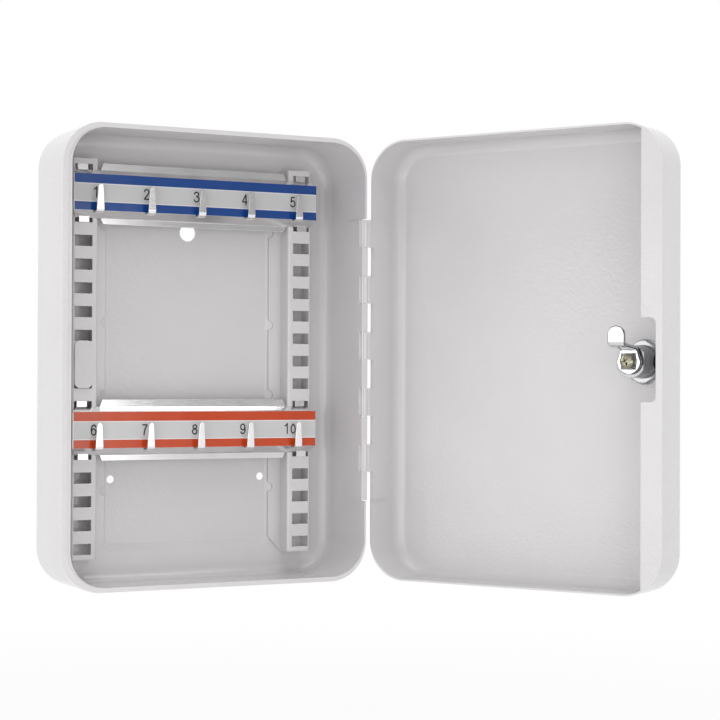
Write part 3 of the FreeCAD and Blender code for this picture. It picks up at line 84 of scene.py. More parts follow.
class Digit(Enum):
    """Pen strokes of a digit, one unit tall: across, up, and whether the pen turns smoothly there."""

    D0 = (((0.28, 0.93, True), (0.07, 0.5, True), (0.28, 0.07, True), (0.49, 0.5, True),
           (0.28, 0.93, True)),)
    D1 = (((0.1, 0.72, False), (0.24, 0.81, True), (0.35, 0.95, False)),
          ((0.36, 0.0, False), (0.36, 1.0, False)))
    D2 = (((0.06, 0.69, False), (0.11, 0.86, True), (0.28, 0.93, True), (0.46, 0.83, True),
           (0.46, 0.63, True), (0.27, 0.35, True), (0.07, 0.1, False)),
          ((0.02, 0.07, False), (0.53, 0.07, False)))
    D3 = (((0.06, 0.73, False), (0.12, 0.87, True), (0.27, 0.93, True), (0.45, 0.84, True),
           (0.42, 0.62, True), (0.24, 0.55, False)),
          ((0.24, 0.55, False), (0.45, 0.47, True), (0.48, 0.22, True), (0.27, 0.07, True),
           (0.1, 0.14, True), (0.04, 0.29, False)))
    D4 = (((0.4, 0.0, False), (0.4, 1.0, False)),
          ((0.38, 0.94, False), (0.05, 0.29, False)),
          ((0.02, 0.28, False), (0.54, 0.28, False)))
    D5 = (((0.49, 0.93, False), (0.14, 0.93, False)),
          ((0.15, 0.97, False), (0.09, 0.47, False)),
          ((0.09, 0.49, False), (0.27, 0.61, True), (0.45, 0.52, True), (0.5, 0.33, True),
           (0.42, 0.13, True), (0.25, 0.07, True), (0.1, 0.14, True), (0.04, 0.28, False)))
    D6 = (((0.48, 0.74, False), (0.42, 0.88, True), (0.28, 0.93, True), (0.12, 0.8, True),
           (0.07, 0.46, True), (0.12, 0.18, True), (0.28, 0.07, True), (0.44, 0.16, True),
           (0.49, 0.34, True), (0.42, 0.53, True), (0.28, 0.6, True), (0.14, 0.53, True),
           (0.08, 0.36, False)),)
    D7 = (((0.03, 0.93, False), (0.53, 0.93, False)),
          ((0.51, 0.92, False), (0.32, 0.58, True), (0.2, 0.0, False)))
    D8 = (((0.28, 0.93, True), (0.1, 0.75, True), (0.28, 0.56, True), (0.46, 0.75, True),
           (0.28, 0.93, True)),
          ((0.28, 0.56, True), (0.06, 0.32, True), (0.28, 0.07, True), (0.5, 0.32, True),
           (0.28, 0.56, True)))
    D9 = (((0.08, 0.26, False), (0.14, 0.12, True), (0.28, 0.07, True), (0.44, 0.2, True),
           (0.49, 0.54, True), (0.44, 0.82, True), (0.28, 0.93, True), (0.12, 0.84, True),
           (0.07, 0.66, True), (0.14, 0.47, True), (0.28, 0.4, True), (0.42, 0.47, True),
           (0.48, 0.64, False)),)


def grey(level: float) -> Colour:
    """Return a neutral colour of one linear level."""
    return (level, level, level)


@dataclass
class ShaderGraph:
    """Node tree of one material, with the surface shader in place."""

    name: str
    material: bpy.types.Material = field(init=False)
    surface: bpy.types.Node = field(init=False)

    def __post_init__(self) -> None:
        """Make the material and find its surface shader."""
        self.material = bpy.data.materials.new(self.name)
        self.material.use_nodes = True
        self.surface = self.material.node_tree.nodes["Principled BSDF"]

    def node(self, kind: str, **settings: object) -> bpy.types.Node:
        """Add a node.

        Args:
            kind: Blender's type name of the node.
            **settings: Properties to set on it.

        Returns:
            The new node.
        """
        made = self.material.node_tree.nodes.new(kind)
        for key, value in settings.items():
            setattr(made, key, value)
        return made

    def link(self, source: bpy.types.NodeSocket, target: bpy.types.NodeSocket) -> None:
        """Join two sockets."""
        self.material.node_tree.links.new(source, target)

    def place(self, stretch: Colour = (1.0, 1.0, 1.0)) -> bpy.types.NodeSocket:
        """Coordinates on the piece itself, in metres.

        Args:
            stretch: Scale of each axis.

        Returns:
            The socket that gives the coordinates.
        """
        coordinates = self.node("ShaderNodeTexCoord")
        mapping = self.node("ShaderNodeMapping")
        mapping.inputs["Scale"].default_value = stretch
        self.link(coordinates.outputs["Object"], mapping.inputs["Vector"])
        return mapping.outputs["Vector"]

    def noise(self, size: float, detail: float, stretch: Colour = (1.0, 1.0, 1.0)) -> bpy.types.Node:
        """Noise whose lumps have a real size.

        Args:
            size: Width of a lump in metres.
            detail: Octaves of finer noise.
            stretch: Scale of each axis.

        Returns:
            The noise node.
        """
        made = self.node("ShaderNodeTexNoise")
        made.inputs["Scale"].default_value = 1.0 / size
        made.inputs["Detail"].default_value = detail
        self.link(self.place(stretch), made.inputs["Vector"])
        return made

    def ramp(self, factor: bpy.types.NodeSocket, stops: list[tuple[float, Colour]],
             constant: bool = False) -> bpy.types.NodeSocket:
        """Turn a factor into a colour.

        Args:
            factor: Socket that drives the ramp.
            stops: Places and colours, lowest first.
            constant: Whether each colour holds up to the next stop.

        Returns:
            The colour socket.
        """
        made = self.node("ShaderNodeValToRGB")
        made.color_ramp.interpolation = "CONSTANT" if constant else "LINEAR"
        elements = made.color_ramp.elements
        for place, _ in stops[2:]:
            elements.new(place)
        for element, (place, colour) in zip(elements, stops):
            element.position = place
            element.color = (*colour, 1.0)
        self.link(factor, made.inputs["Fac"])
        return made.outputs["Color"]

    def mottle(self, factor: bpy.types.NodeSocket, low: Colour, high: Colour) -> bpy.types.NodeSocket:
        """Blend two colours over the usual range of a noise."""
        return self.ramp(factor, [(NOISE_LOW, low), (NOISE_HIGH, high)])

    def remap(self, value: bpy.types.NodeSocket, start: float, stop: float, low: float = 0.0,
              high: float = 1.0, kind: str = "LINEAR") -> bpy.types.NodeSocket:
        """Map a range of values to another.

        Args:
            value: Socket that gives the value.
            start: Value that becomes low.
            stop: Value that becomes high.
            low: Lowest result.
            high: Highest result.
            kind: Blender's name of the way between the two.

        Returns:
            The socket that gives the result.
        """
        made = self.node("ShaderNodeMapRange", interpolation_type=kind)
        for name, level in (("From Min", start), ("From Max", stop), ("To Min", low), ("To Max", high)):
            made.inputs[name].default_value = level
        self.link(value, made.inputs["Value"])
        return made.outputs["Result"]

    def spread(self, factor: bpy.types.NodeSocket, low: float, high: float) -> bpy.types.NodeSocket:
        """Map the usual range of a noise to two values."""
        return self.remap(factor, NOISE_LOW, NOISE_HIGH, low, high)

    def relief(self, height: bpy.types.NodeSocket, depth: float, strength: float,
               under: bpy.types.NodeSocket | None = None) -> bpy.types.NodeSocket:
        """Fine relief on the surface.

        Args:
            height: Socket that gives the height.
            depth: Depth of the relief in metres.
            strength: Share of it that shows.
            under: Normal of a coarser relief that this one lies on.

        Returns:
            The normal socket.
        """
        made = self.node("ShaderNodeBump")
        made.inputs["Strength"].default_value = strength
        made.inputs["Distance"].default_value = depth
        self.link(height, made.inputs["Height"])
        if under is not None:
            self.link(under, made.inputs["Normal"])
        return made.outputs["Normal"]

    def set(self, **values: object) -> None:
        """Set the surface shader's own sockets, with spaces written as underscores."""
        for key, value in values.items():
            self.surface.inputs[key.replace("_", " ")].default_value = value

    def drive(self, name: str, socket: bpy.types.NodeSocket) -> None:
        """Link a socket to one of the surface shader's inputs."""
        self.link(socket, self.surface.inputs[name])


@dataclass(frozen=True)
class PowderCoat:
    """Light grey powder coat with the fine orange peel of baked paint."""

    name: str = "light_grey_powder_coat"
    colour: Colour = (0.655, 0.641, 0.648)
    cloud_size: float = 60 * MM
    cloud_tone: float = 0.02
    peel_size: float = 1.6 * MM
    peel_depth: float = 0.13 * MM
    peel_strength: float = 0.8
    swell_size: float = 35 * MM
    swell_depth: float = 0.25 * MM
    swell_strength: float = 0.35
    gloss: tuple[float, float] = (0.06, 0.10)

    def material(self) -> bpy.types.Material:
        """Build the paint.

        Returns:
            The material.
        """
        graph = ShaderGraph(self.name)
        cloud = graph.noise(self.cloud_size, detail=3.0)
        dark = tuple(channel * (1.0 - self.cloud_tone) for channel in self.colour)
        light = tuple(channel * (1.0 + self.cloud_tone) for channel in self.colour)
        graph.drive("Base Color", graph.mottle(cloud.outputs["Fac"], dark, light))
        peel = graph.noise(self.peel_size, detail=2.0)
        graph.drive("Roughness", graph.spread(peel.outputs["Fac"], *self.gloss))
        sheet = graph.noise(self.swell_size, detail=1.0)
        swell = graph.relief(sheet.outputs["Fac"], self.swell_depth, self.swell_strength)
        relief = graph.relief(peel.outputs["Fac"], self.peel_depth, self.peel_strength, swell)
        graph.drive("Normal", relief)
        graph.set(Metallic=0.0, Specular_IOR_Level=0.5)
        return graph.material


@dataclass(frozen=True)
class PlatedMetal:
    """Plated or polished metal with fine lines, small marks from handling and, where asked for, a painted dark
    reflection along its edges.
    """

    name: str
    colour: Colour
    gloss: tuple[float, float]
    grain: Grain = Grain.NONE
    cloud_size: float = 9 * MM
    cloud_tone: float = 0.92
    line_size: float = 0.25 * MM
    line_depth: float = 0.0012 * MM
    line_strength: float = 0.6
    edge_radius: float = 0.30 * MM
    edge_tone: float = 1.0
    edge_turn: tuple[float, float] = (0.90, 0.99)

    def material(self) -> bpy.types.Material:
        """Build the metal.

        Returns:
            The material.
        """
        graph = ShaderGraph(self.name)
        cloud = graph.noise(self.cloud_size, detail=3.0)
        dull = tuple(channel * self.cloud_tone for channel in self.colour)
        tone = graph.mottle(cloud.outputs["Fac"], dull, self.colour)
        lines = graph.noise(self.line_size, detail=2.0, stretch=self.grain.value)
        graph.drive("Roughness", graph.spread(lines.outputs["Fac"], *self.gloss))
        edge = graph.node("ShaderNodeBevel", samples=6)
        edge.inputs["Radius"].default_value = self.edge_radius
        # An edge tone under 1 paints a dark reflection along the edges into the base colour.
        graph.drive("Base Color", self.darker_edge(graph, edge, tone) if self.edge_tone < 1.0 else tone)
        relief = graph.relief(lines.outputs["Fac"], self.line_depth, self.line_strength,
                              edge.outputs["Normal"])
        graph.drive("Normal", relief)
        graph.set(Metallic=1.0)
        return graph.material

    def darker_edge(self, graph: ShaderGraph, edge: bpy.types.Node,
                    tone: bpy.types.NodeSocket) -> bpy.types.NodeSocket:
        """Paint a dark reflection along the plating's edges, where the rounded edge normal turns away from the face.

        Args:
            graph: Material that is being built.
            edge: Bevel node that rounds the edges.
            tone: Colour away from the edges.

        Returns:
            The colour socket.
        """
        flat = graph.node("ShaderNodeNewGeometry")
        turn = graph.node("ShaderNodeVectorMath", operation="DOT_PRODUCT")
        graph.link(edge.outputs["Normal"], turn.inputs[0])
        graph.link(flat.outputs["True Normal"], turn.inputs[1])
        blend = graph.node("ShaderNodeMix", data_type="RGBA")
        dark = tuple(channel * self.edge_tone for channel in self.colour)
        blend.inputs[MIX_FIRST].default_value = (*dark, 1.0)
        graph.link(graph.remap(turn.outputs["Value"], *self.edge_turn), blend.inputs["Factor"])
        graph.link(tone, blend.inputs[MIX_SECOND])
        return blend.outputs[MIX_COLOUR]


@dataclass(frozen=True)
class PrintedStrip:
    """Glossy printed strip: coloured edges, thin white lines and a light grey middle band."""

    name: str
    band: Band
    middle: float
    height: float = 20 * MM
    lower_band: float = 4.6 * MM
    upper_band: float = 5.2 * MM
    white_line: float = 0.35 * MM
    paper: float = 0.60
    white: float = 0.86
    speckle_size: float = 0.5 * MM
    speckle_tone: float = 0.86
    speckle_share: float = 0.2
    wave_size: float = 14 * MM
    wave_depth: float = 0.25 * MM
    wave_strength: float = 0.5
    gloss: tuple[float, float] = (0.10, 0.20)

    def material(self) -> bpy.types.Material:
        """Build the print.

        Returns:
            The material.
        """
        graph = ShaderGraph(self.name)
        coordinates = graph.node("ShaderNodeTexCoord")
        split = graph.node("ShaderNodeSeparateXYZ")
        graph.link(coordinates.outputs["Object"], split.inputs["Vector"])
        lowest = self.middle - self.height / 2
        share = graph.remap(split.outputs["Z"], lowest, lowest + self.height)
        stops = [
            (0.0, self.band.value),
            (self.lower_band / self.height, grey(self.white)),
            ((self.lower_band + self.white_line) / self.height, grey(self.paper)),
            (1 - (self.upper_band + self.white_line) / self.height, grey(self.white)),
            (1 - self.upper_band / self.height, self.band.value),
        ]
        speckle = graph.noise(self.speckle_size, detail=2.0)
        tint = graph.node("ShaderNodeMix", data_type="RGBA", blend_type="MULTIPLY")
        tint.inputs["Factor"].default_value = self.speckle_share
        graph.link(graph.ramp(share, stops, constant=True), tint.inputs[MIX_FIRST])
        specks = graph.mottle(speckle.outputs["Fac"], grey(self.speckle_tone), grey(1.0))
        graph.link(specks, tint.inputs[MIX_SECOND])
        graph.drive("Base Color", tint.outputs[MIX_COLOUR])
        wave = graph.noise(self.wave_size, detail=2.0)
        graph.drive("Roughness", graph.spread(wave.outputs["Fac"], *self.gloss))
        graph.drive("Normal", graph.relief(wave.outputs["Fac"], self.wave_depth, self.wave_strength))
        graph.set(Specular_IOR_Level=0.6)
        return graph.material


@dataclass(frozen=True)
class PrintingInk:
    """Black ink of the numbers, a little uneven."""

    name: str = "number_ink"
    spot_size: float = 0.4 * MM
    black: tuple[float, float] = (0.012, 0.035)
    gloss: tuple[float, float] = (0.25, 0.40)

    def material(self) -> bpy.types.Material:
        """Build the ink.

        Returns:
            The material.
        """
        graph = ShaderGraph(self.name)
        spots = graph.noise(self.spot_size, detail=2.0)
        blacks = (grey(level) for level in self.black)
        graph.drive("Base Color", graph.mottle(spots.outputs["Fac"], *blacks))
        graph.drive("Roughness", graph.spread(spots.outputs["Fac"], *self.gloss))
        return graph.material


@dataclass(frozen=True)
class StudioWhite:
    """Pale studio floor that a camera sees nearly white and that keeps a soft shadow."""

    name: str = "studio_floor"
    level: float = 0.88
    fleck_size: float = 40 * MM
    fleck_tone: float = 0.98
    near_white: float = 0.84
    fade_from: float = 0.45
    fade_to: float = 1.3

    def material(self) -> bpy.types.Material:
        """Build the floor's paint.

        Returns:
            The material.
        """
        graph = ShaderGraph(self.name)
        fleck = graph.noise(self.fleck_size, detail=3.0)
        flecks = graph.mottle(fleck.outputs["Fac"], grey(self.level * self.fleck_tone), grey(self.level))
        graph.drive("Base Color", flecks)
        graph.set(Roughness=0.9)
        length = graph.node("ShaderNodeVectorMath", operation="LENGTH")
        graph.link(graph.place(), length.inputs[0])
        fade = graph.remap(length.outputs["Value"], self.fade_from, self.fade_to, self.near_white, 1.0,
                           "SMOOTHSTEP")
        share = graph.node("ShaderNodeMath", operation="MULTIPLY")
        graph.link(self.seen_directly(graph), share.inputs[0])
        graph.link(fade, share.inputs[1])
        white = graph.node("ShaderNodeEmission")
        white.inputs["Color"].default_value = (1.0, 1.0, 1.0, 1.0)
        white.inputs["Strength"].default_value = 1.0
        mix = graph.node("ShaderNodeMixShader")
        graph.link(share.outputs["Value"], mix.inputs["Fac"])
        graph.link(graph.surface.outputs["BSDF"], mix.inputs[1])
        graph.link(white.outputs["Emission"], mix.inputs[2])
        output = graph.material.node_tree.nodes["Material Output"]
        graph.link(mix.outputs["Shader"], output.inputs["Surface"])
        return graph.material

    def seen_directly(self, graph: ShaderGraph) -> bpy.types.NodeSocket:
        """Find the rays that see the floor itself: camera, gloss and glass.

        Args:
            graph: Material that is being built.

        Returns:
            The socket that is 1 for such a ray.
        """
        path = graph.node("ShaderNodeLightPath")
        seen = path.outputs["Is Camera Ray"]
        for kind in ("Is Glossy Ray", "Is Transmission Ray"):
            either = graph.node("ShaderNodeMath", operation="MAXIMUM")
            graph.link(seen, either.inputs[0])
            graph.link(path.outputs[kind], either.inputs[1])
            seen = either.outputs["Value"]
        return seen


@dataclass(frozen=True)
class LockAxis:
    """Axis that the cam turns on, with the directions square to it."""

    centre: Vector
    inward: Vector
    upward: Vector
    side: Vector

    @classmethod
    def from_record(cls) -> "LockAxis":
        """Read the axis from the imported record.

        Returns:
            The axis at rest.
        """
        turn = next(one for one in frame["record"]["behaviour"]["joints"] if one["name"] == "cam_turn")
        inward = -Vector(turn["axis"]).normalized()
        upward = Vector((0.0, 0.0, 1.0))
        return cls(Vector(turn["pos_m"]), inward, upward, upward.cross(inward))

    def point(self, across: float, up: float, out: float) -> Vector:
        """Place of a point that is given in the lock's own directions."""
        return self.centre + self.side * across + self.upward * up + self.inward * out

    def reaches(self, node: str) -> list[float]:
        """Places of a node's corners along the axis, from its centre."""
        corners = bpy.data.objects[node].data.vertices
        return [(corner.co - self.centre).dot(self.inward) for corner in corners]


def join_loops(target: bmesh.types.BMesh, first: list[bmesh.types.BMVert],
               second: list[bmesh.types.BMVert]) -> None:
    """Join two closed loops with faces.

    Args:
        target: Geometry that is being built.
        first: Corners of one loop.
        second: Corners of the other, as many.
    """
    for one in range(len(first)):
        after = (one + 1) % len(first)
        target.faces.new((first[one], first[after], second[after], second[one]))


def finished_mesh(name: str, source: bmesh.types.BMesh) -> bpy.types.Mesh:
    """Turn built geometry into a mesh.

    Args:
        name: Name of the mesh.
        source: Geometry, which is freed.

    Returns:
        The mesh.
    """
    mesh = bpy.data.meshes.new(name)
    source.to_mesh(mesh)
    source.free()
    return mesh


def add_piece(name: str, mesh: bpy.types.Mesh, finishes: tuple[bpy.types.Material, ...], body: str) -> bpy.types.Object:
    """Add a piece that isn't in the pack.

    Args:
        name: Name of the piece.
        mesh: Its shape.
        finishes: Materials in the order that its faces name them.
        body: Body that it rides on.

    Returns:
        The piece.
    """
    for finish in finishes:
        mesh.materials.append(finish)
    piece = bpy.data.objects.new(name, mesh)
    bpy.context.collection.objects.link(piece)
    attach(piece, body)
    LOG.info("%s made with %d faces", name, len(mesh.polygons))
    return piece


def dress(node: str, material: bpy.types.Material) -> None:
    """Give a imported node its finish.

    Args:
        node: Name of the node.
        material: Finish for all of its faces.
    """
    piece = bpy.data.objects[node]
    if not piece.material_slots:
        piece.data.materials.append(None)
    for place in piece.material_slots:
        place.link = "OBJECT"
        place.material = material
    LOG.info("%s has finish %s", node, material.name)


@dataclass
class SteelShells:
    """Painted sheet-steel pieces: both trays, the folded strips, the uprights and the hinge leaves."""

    nodes: tuple[str, ...] = (
        "cabinet_shell", "lock_keeper", "left_slotted_support", "right_slotted_support",
        "blanking_plate", "cabinet_hinge_leaf", "door_shell", "door_lock_lip", "door_hinge_leaf",
    )
    paint: PowderCoat = PowderCoat()
    pin: str = "hinge_pin"

    def build(self) -> None:
        """Paint the pieces and finish the pin."""
        coat = self.paint.material()
        for node in self.nodes:
            dress(node, coat)
        steel = PlatedMetal("drawn_steel", (0.42, 0.42, 0.43), (0.25, 0.35))
        dress(self.pin, steel.material())


@dataclass
class NumberedRail:
    """Hook rail with its printed strip and the numbers on it."""

    body: str
    rail: str
    strip: str
    slot: str
    band: Band
    zinc: bpy.types.Material
    ink: bpy.types.Material
    middle: float
    first: int
    places: tuple[float, ...]
    digit_height: float = 6.2 * MM
    digit_advance: float = 0.68
    digit_width: float = 0.66
    pen: float = 0.125
    ink_thickness: float = 0.02 * MM
    lift: float = 0.004 * MM

    def build(self) -> None:
        """Finish the rail and the strip, then print the numbers."""
        dress(self.rail, self.zinc)
        dress(self.strip, PrintedStrip(f"{self.strip}_print", self.band, self.middle).material())
        for index, across in enumerate(self.places):
            self.number(self.first + index, across)

    def draw(self, lines: bpy.types.Curve, stroke: Stroke, start: float) -> None:
        """Add one pen stroke to a number.

        Args:
            lines: Curve that holds the number's strokes.
            stroke: Points of the stroke.
            start: Left side of the digit.
        """
        spline = lines.splines.new("BEZIER")
        spline.bezier_points.add(len(stroke) - 1)
        for point, (across, up, smooth) in zip(spline.bezier_points, stroke):
            point.co = (start + across, up, 0.0)
            point.handle_left_type = "AUTO" if smooth else "VECTOR"
            point.handle_right_type = point.handle_left_type

    def number(self, value: int, across: float) -> None:
        """Print one number in front of the strip.

        Args:
            value: Number to print.
            across: Middle of it along X.
        """
        lines = bpy.data.curves.new(f"number_{value}_lines", "CURVE")
        lines.dimensions = "3D"
        lines.bevel_depth = self.pen / 2
        lines.bevel_resolution = 2
        lines.resolution_u = 8
        lines.use_fill_caps = True
        text = str(value)
        for index, digit in enumerate(text):
            for stroke in Digit[f"D{digit}"].value:
                self.draw(lines, stroke, index * self.digit_advance)
        source = bpy.data.objects.new(f"number_{value}_source", lines)
        bpy.context.collection.objects.link(source)
        bpy.context.view_layer.update()
        drawn = source.evaluated_get(bpy.context.evaluated_depsgraph_get())
        shape = bpy.data.meshes.new_from_object(drawn)
        bpy.data.objects.remove(source)
        wide = (len(text) - 1) * self.digit_advance + self.digit_width
        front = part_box(self.strip)[0][1]
        shape.transform(
            Matrix.Translation((across, front - self.lift - self.ink_thickness / 2, self.middle))
            @ Matrix.Rotation(math.pi / 2, 4, "X")
            @ Matrix.Diagonal((self.digit_height, self.digit_height, self.ink_thickness / self.pen, 1.0))
            @ Matrix.Translation((-wide / 2, -0.5, 0.0)))
        add_piece(f"printed_number_{value}", shape, (self.ink,), self.body)


@dataclass
class CrossHead:
    """Domed head of the cam screw with a tapering cross recess, over the plain head of the solid."""

    metal: bpy.types.Material
    shade: bpy.types.Material
    axis: LockAxis
    radius: float = 4.1 * MM
    height: float = 2.6 * MM
    crown: float = 1.5 * MM
    crown_share: float = 0.98
    plain_height: float = 1.9 * MM
    arm_half_width: float = 0.80 * MM
    arm_root: float = 1.15
    arm_taper: float = 0.55
    arm_slope: float = 0.42 * MM
    arm_reach: float = 2.9 * MM
    recess: float = 2.1 * MM
    shade_from: float = 0.12
    turned: float = 0.35
    rings: int = 26
    steps: int = 80

    def dome(self, out: float) -> float:
        """Height of the plain dome over its seat, at a distance from the axis."""
        share = min(out / self.radius, 1.0)
        return self.height - self.crown * (1.0 - math.sqrt(1.0 - self.crown_share * share ** 4))

    def level(self, across: float, up: float) -> float:
        """Height of the head's surface over its seat, with the recess taken out.

        Args:
            across: Place across the head, along one arm of the cross.
            up: Place up the head, along the other arm.

        Returns:
            The height in metres.
        """
        out = math.hypot(across, up)
        half_width = self.arm_half_width * (self.arm_root - self.arm_taper * out / self.arm_reach)
        wall = (half_width - min(abs(across), abs(up))) / self.arm_slope
        end = (self.arm_reach - out) / (2 * self.arm_slope)
        return self.dome(out) - self.recess * max(0.0, min(1.0, wall)) * max(0.0, min(1.0, end))

    def build(self) -> None:
        """Make the head and set it on the cam washer."""
        seat = max(self.axis.reaches("cam_screw")) - self.plain_height
        head = bmesh.new()
        middle = head.verts.new(self.axis.point(0.0, 0.0, seat + self.level(0.0, 0.0)))
        loops = [self.loop(head, seat, ring) for ring in range(1, self.rings + 2)]
        for step in range(self.steps):
            after = (step + 1) % self.steps
            head.faces.new((middle, loops[0][step], loops[0][after]))
            for inner, outer in zip(loops, loops[1:]):
                head.faces.new((inner[step], outer[step], outer[after], inner[after]))
        head.faces.new(tuple(reversed(loops[-1])))
        bmesh.ops.recalc_face_normals(head, faces=head.faces)
        self.darken(head, seat)
        mesh = finished_mesh("cam_screw_head", head)
        add_piece("cam_screw_head", mesh, (self.metal, self.shade), "plug")

    def loop(self, head: bmesh.types.BMesh, seat: float, ring: int) -> list[bmesh.types.BMVert]:
        """Add one ring of corners; the one after the last lies on the seat.

        Args:
            head: Geometry that is being built.
            seat: Place of the head's seat along the axis.
            ring: Number of the ring, from 1 at the middle.

        Returns:
            The corners of the ring.
        """
        out = self.radius * min(ring / self.rings, 1.0)
        corners = []
        for step in range(self.steps):
            angle = 2 * math.pi * step / self.steps
            level = self.level(out * math.cos(angle), out * math.sin(angle)) if ring <= self.rings else 0.0
            spun = angle + self.turned
            place = self.axis.point(out * math.cos(spun), out * math.sin(spun), seat + level)
            corners.append(head.verts.new(place))
        return corners

    def darken(self, head: bmesh.types.BMesh, seat: float) -> None:
        """Smooth the dome and give the deep faces of the recess a near-black finish, which is painted shade.

        Args:
            head: Geometry that is being built.
            seat: Place of the head's seat along the axis.
        """
        foot = self.axis.point(0.0, 0.0, seat)
        for face in head.faces:
            place = face.calc_center_median() - foot
            out = math.hypot(place.dot(self.axis.side), place.dot(self.axis.upward))
            deep = self.dome(out) - self.shade_from * self.recess
            # Faces deep in the recess get the near-black finish: painted shade.
            face.material_index = 1 if 0.0 < place.dot(self.axis.inward) < deep else 0
            face.smooth = len(face.verts) < self.steps


@dataclass
class StepCam:
    """Cam of the lock: a ring on the square, a deep step and a tongue with a round end."""

    metal: bpy.types.Material
    rim: bpy.types.Material
    axis: LockAxis
    sheet: float = 2.0 * MM
    ring_radius: float = 7.0 * MM
    knee: float = 6.2 * MM
    step: float = 16.0 * MM
    rake: float = 1.6 * MM
    tongue_half: float = 4.9 * MM
    tongue_end: float = 18.6 * MM
    hole_half: float = 4.3 * MM
    bend: float = 1.6 * MM
    chamfer: float = 0.50 * MM
    weld: float = 0.001 * MM
    parts: int = 72
    bend_steps: int = 8
    tongue_steps: int = 24
    crowding: float = 1.8
    rim_lean: tuple[float, float] = (0.3, 0.9)
    rim_turn: float = 0.2
    crease: float = 0.6
    seat: float = field(init=False)

    def __post_init__(self) -> None:
        """Find the place of the cam's seat along the axis."""
        self.seat = min(self.axis.reaches("lock_cam"))

    def build(self) -> None:
        """Make the cam on its square."""
        cam = bmesh.new()
        self.ring(cam)
        self.sweep(cam)
        bmesh.ops.remove_doubles(cam, verts=cam.verts, dist=self.weld)
        bmesh.ops.recalc_face_normals(cam, faces=cam.faces)
        self.finish_edges(cam)
        mesh = finished_mesh("step_cam", cam)
        piece = add_piece("step_cam", mesh, (self.metal, self.rim), "plug")
        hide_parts("lock_cam")

    def spot(self, cam: bmesh.types.BMesh, across: float, up: float, out: float) -> bmesh.types.BMVert:
        """Add a corner, given across, up and out from the cam's seat."""
        return cam.verts.new(self.axis.point(across, up, self.seat + out))

    def outline(self, angle: float) -> tuple[float, float]:
        """Place on the ring's outline.

        Args:
            angle: Direction from the axis.

        Returns:
            The place across and up.
        """
        across, up = math.cos(angle), math.sin(angle)
        if up <= 0.0:
            return across * self.ring_radius, up * self.ring_radius
        fall = (self.ring_radius - self.tongue_half) / self.knee
        reach = self.ring_radius / (abs(across) + fall * up)
        reach = min(reach, self.knee / up)
        return across * reach, up * reach

    def ring(self, cam: bmesh.types.BMesh) -> None:
        """Build the ring round the square hole, with its edges broken.

        Args:
            cam: Geometry that is being built.
        """
        loops = [
            self.ring_loop(cam, 0.0, self.chamfer),
            self.ring_loop(cam, 0.0, self.sheet - self.chamfer),
            self.ring_loop(cam, self.chamfer, self.sheet),
            self.hole_loop(cam, self.sheet),
            self.hole_loop(cam, 0.0),
            self.ring_loop(cam, self.chamfer, 0.0),
        ]
        for first, second in zip(loops, loops[1:] + loops[:1]):
            join_loops(cam, first, second)

    def ring_loop(self, cam: bmesh.types.BMesh, cut: float, out: float) -> list[bmesh.types.BMVert]:
        """Add a loop of the ring's outline.

        Args:
            cam: Geometry that is being built.
            cut: How far the loop lies inside the outline.
            out: Height of the loop over the cam's seat.

        Returns:
            The corners of the loop.
        """
        loop = []
        for one in range(self.parts):
            across, up = self.outline(2 * math.pi * one / self.parts)
            share = 1.0 - cut / math.hypot(across, up)
            loop.append(self.spot(cam, across * share, up * share, out))
        return loop

    def hole_loop(self, cam: bmesh.types.BMesh, out: float) -> list[bmesh.types.BMVert]:
        """Add a loop of the square hole.

        Args:
            cam: Geometry that is being built.
            out: Height of the loop over the cam's seat.

        Returns:
            The corners of the loop.
        """
        loop = []
        for one in range(self.parts):
            angle = 2 * math.pi * one / self.parts
            across, up = math.cos(angle), math.sin(angle)
            reach = self.hole_half / max(abs(across), abs(up))
            loop.append(self.spot(cam, across * reach, up * reach, out))
        return loop

    def path(self) -> list[tuple[Vector, Vector]]:
        """Middle line of the step and tongue.

        Returns:
            Points in the plane of the axis and up, each with its direction.
        """
        half = self.sheet / 2
        corners = [
            Vector((half, self.knee)),
            Vector((half, self.knee + half)),
            Vector((half + self.step, self.knee + half + self.rake)),
            Vector((half + self.step, self.tongue_end)),
        ]
        places = [(corners[0], (corners[1] - corners[0]).normalized())]
        for before, corner, after in zip(corners, corners[1:], corners[2:]):
            into = (corner - before).normalized()
            away = (after - corner).normalized()
            cut = min(self.bend, (corner - before).length)
            for part in range(self.bend_steps + 1):
                share = part / self.bend_steps
                place = (corner - into * cut) * (1 - share) ** 2 + corner * (2 * share * (1 - share))
                place += (corner + away * cut) * share ** 2
                places.append((place, into.lerp(away, share).normalized()))
        last, end = places[-1][0], corners[-1]
        straight = (end - last).length
        for part in range(1, self.tongue_steps + 1):
            left = straight * (1 - part / self.tongue_steps) ** self.crowding
            places.append((end - Vector((0.0, left)), Vector((0.0, 1.0))))
        return places

    def section(self, cam: bmesh.types.BMesh, place: Vector, along: Vector) -> list[bmesh.types.BMVert]:
        """Add a cross-section of the bent sheet, narrower where the tongue's end is round.

        Args:
            cam: Geometry that is being built.
            place: Middle of the section, out and up.
            along: Direction of the sheet there.

        Returns:
            The corners of the section.
        """
        half = self.sheet / 2
        edge = half - self.chamfer
        over = Vector((along.y, -along.x))
        from_end = self.tongue_end - place.y
        rho = max(0.0, self.tongue_half - from_end) if place.x > self.step else 0.0
        wide = math.sqrt(max(self.tongue_half ** 2 - rho ** 2, 0.0))
        narrow = math.sqrt(max((self.tongue_half - self.chamfer) ** 2 - rho ** 2, 0.0))
        face = half - max(0.0, rho - (self.tongue_half - self.chamfer))
        corners = []
        for across, high in ((wide, edge), (narrow, face), (-narrow, face), (-wide, edge),
                             (-wide, -edge), (-narrow, -face), (narrow, -face), (wide, -edge)):
            point = place + over * high
            corners.append(self.spot(cam, across, point.y, point.x))
        return corners

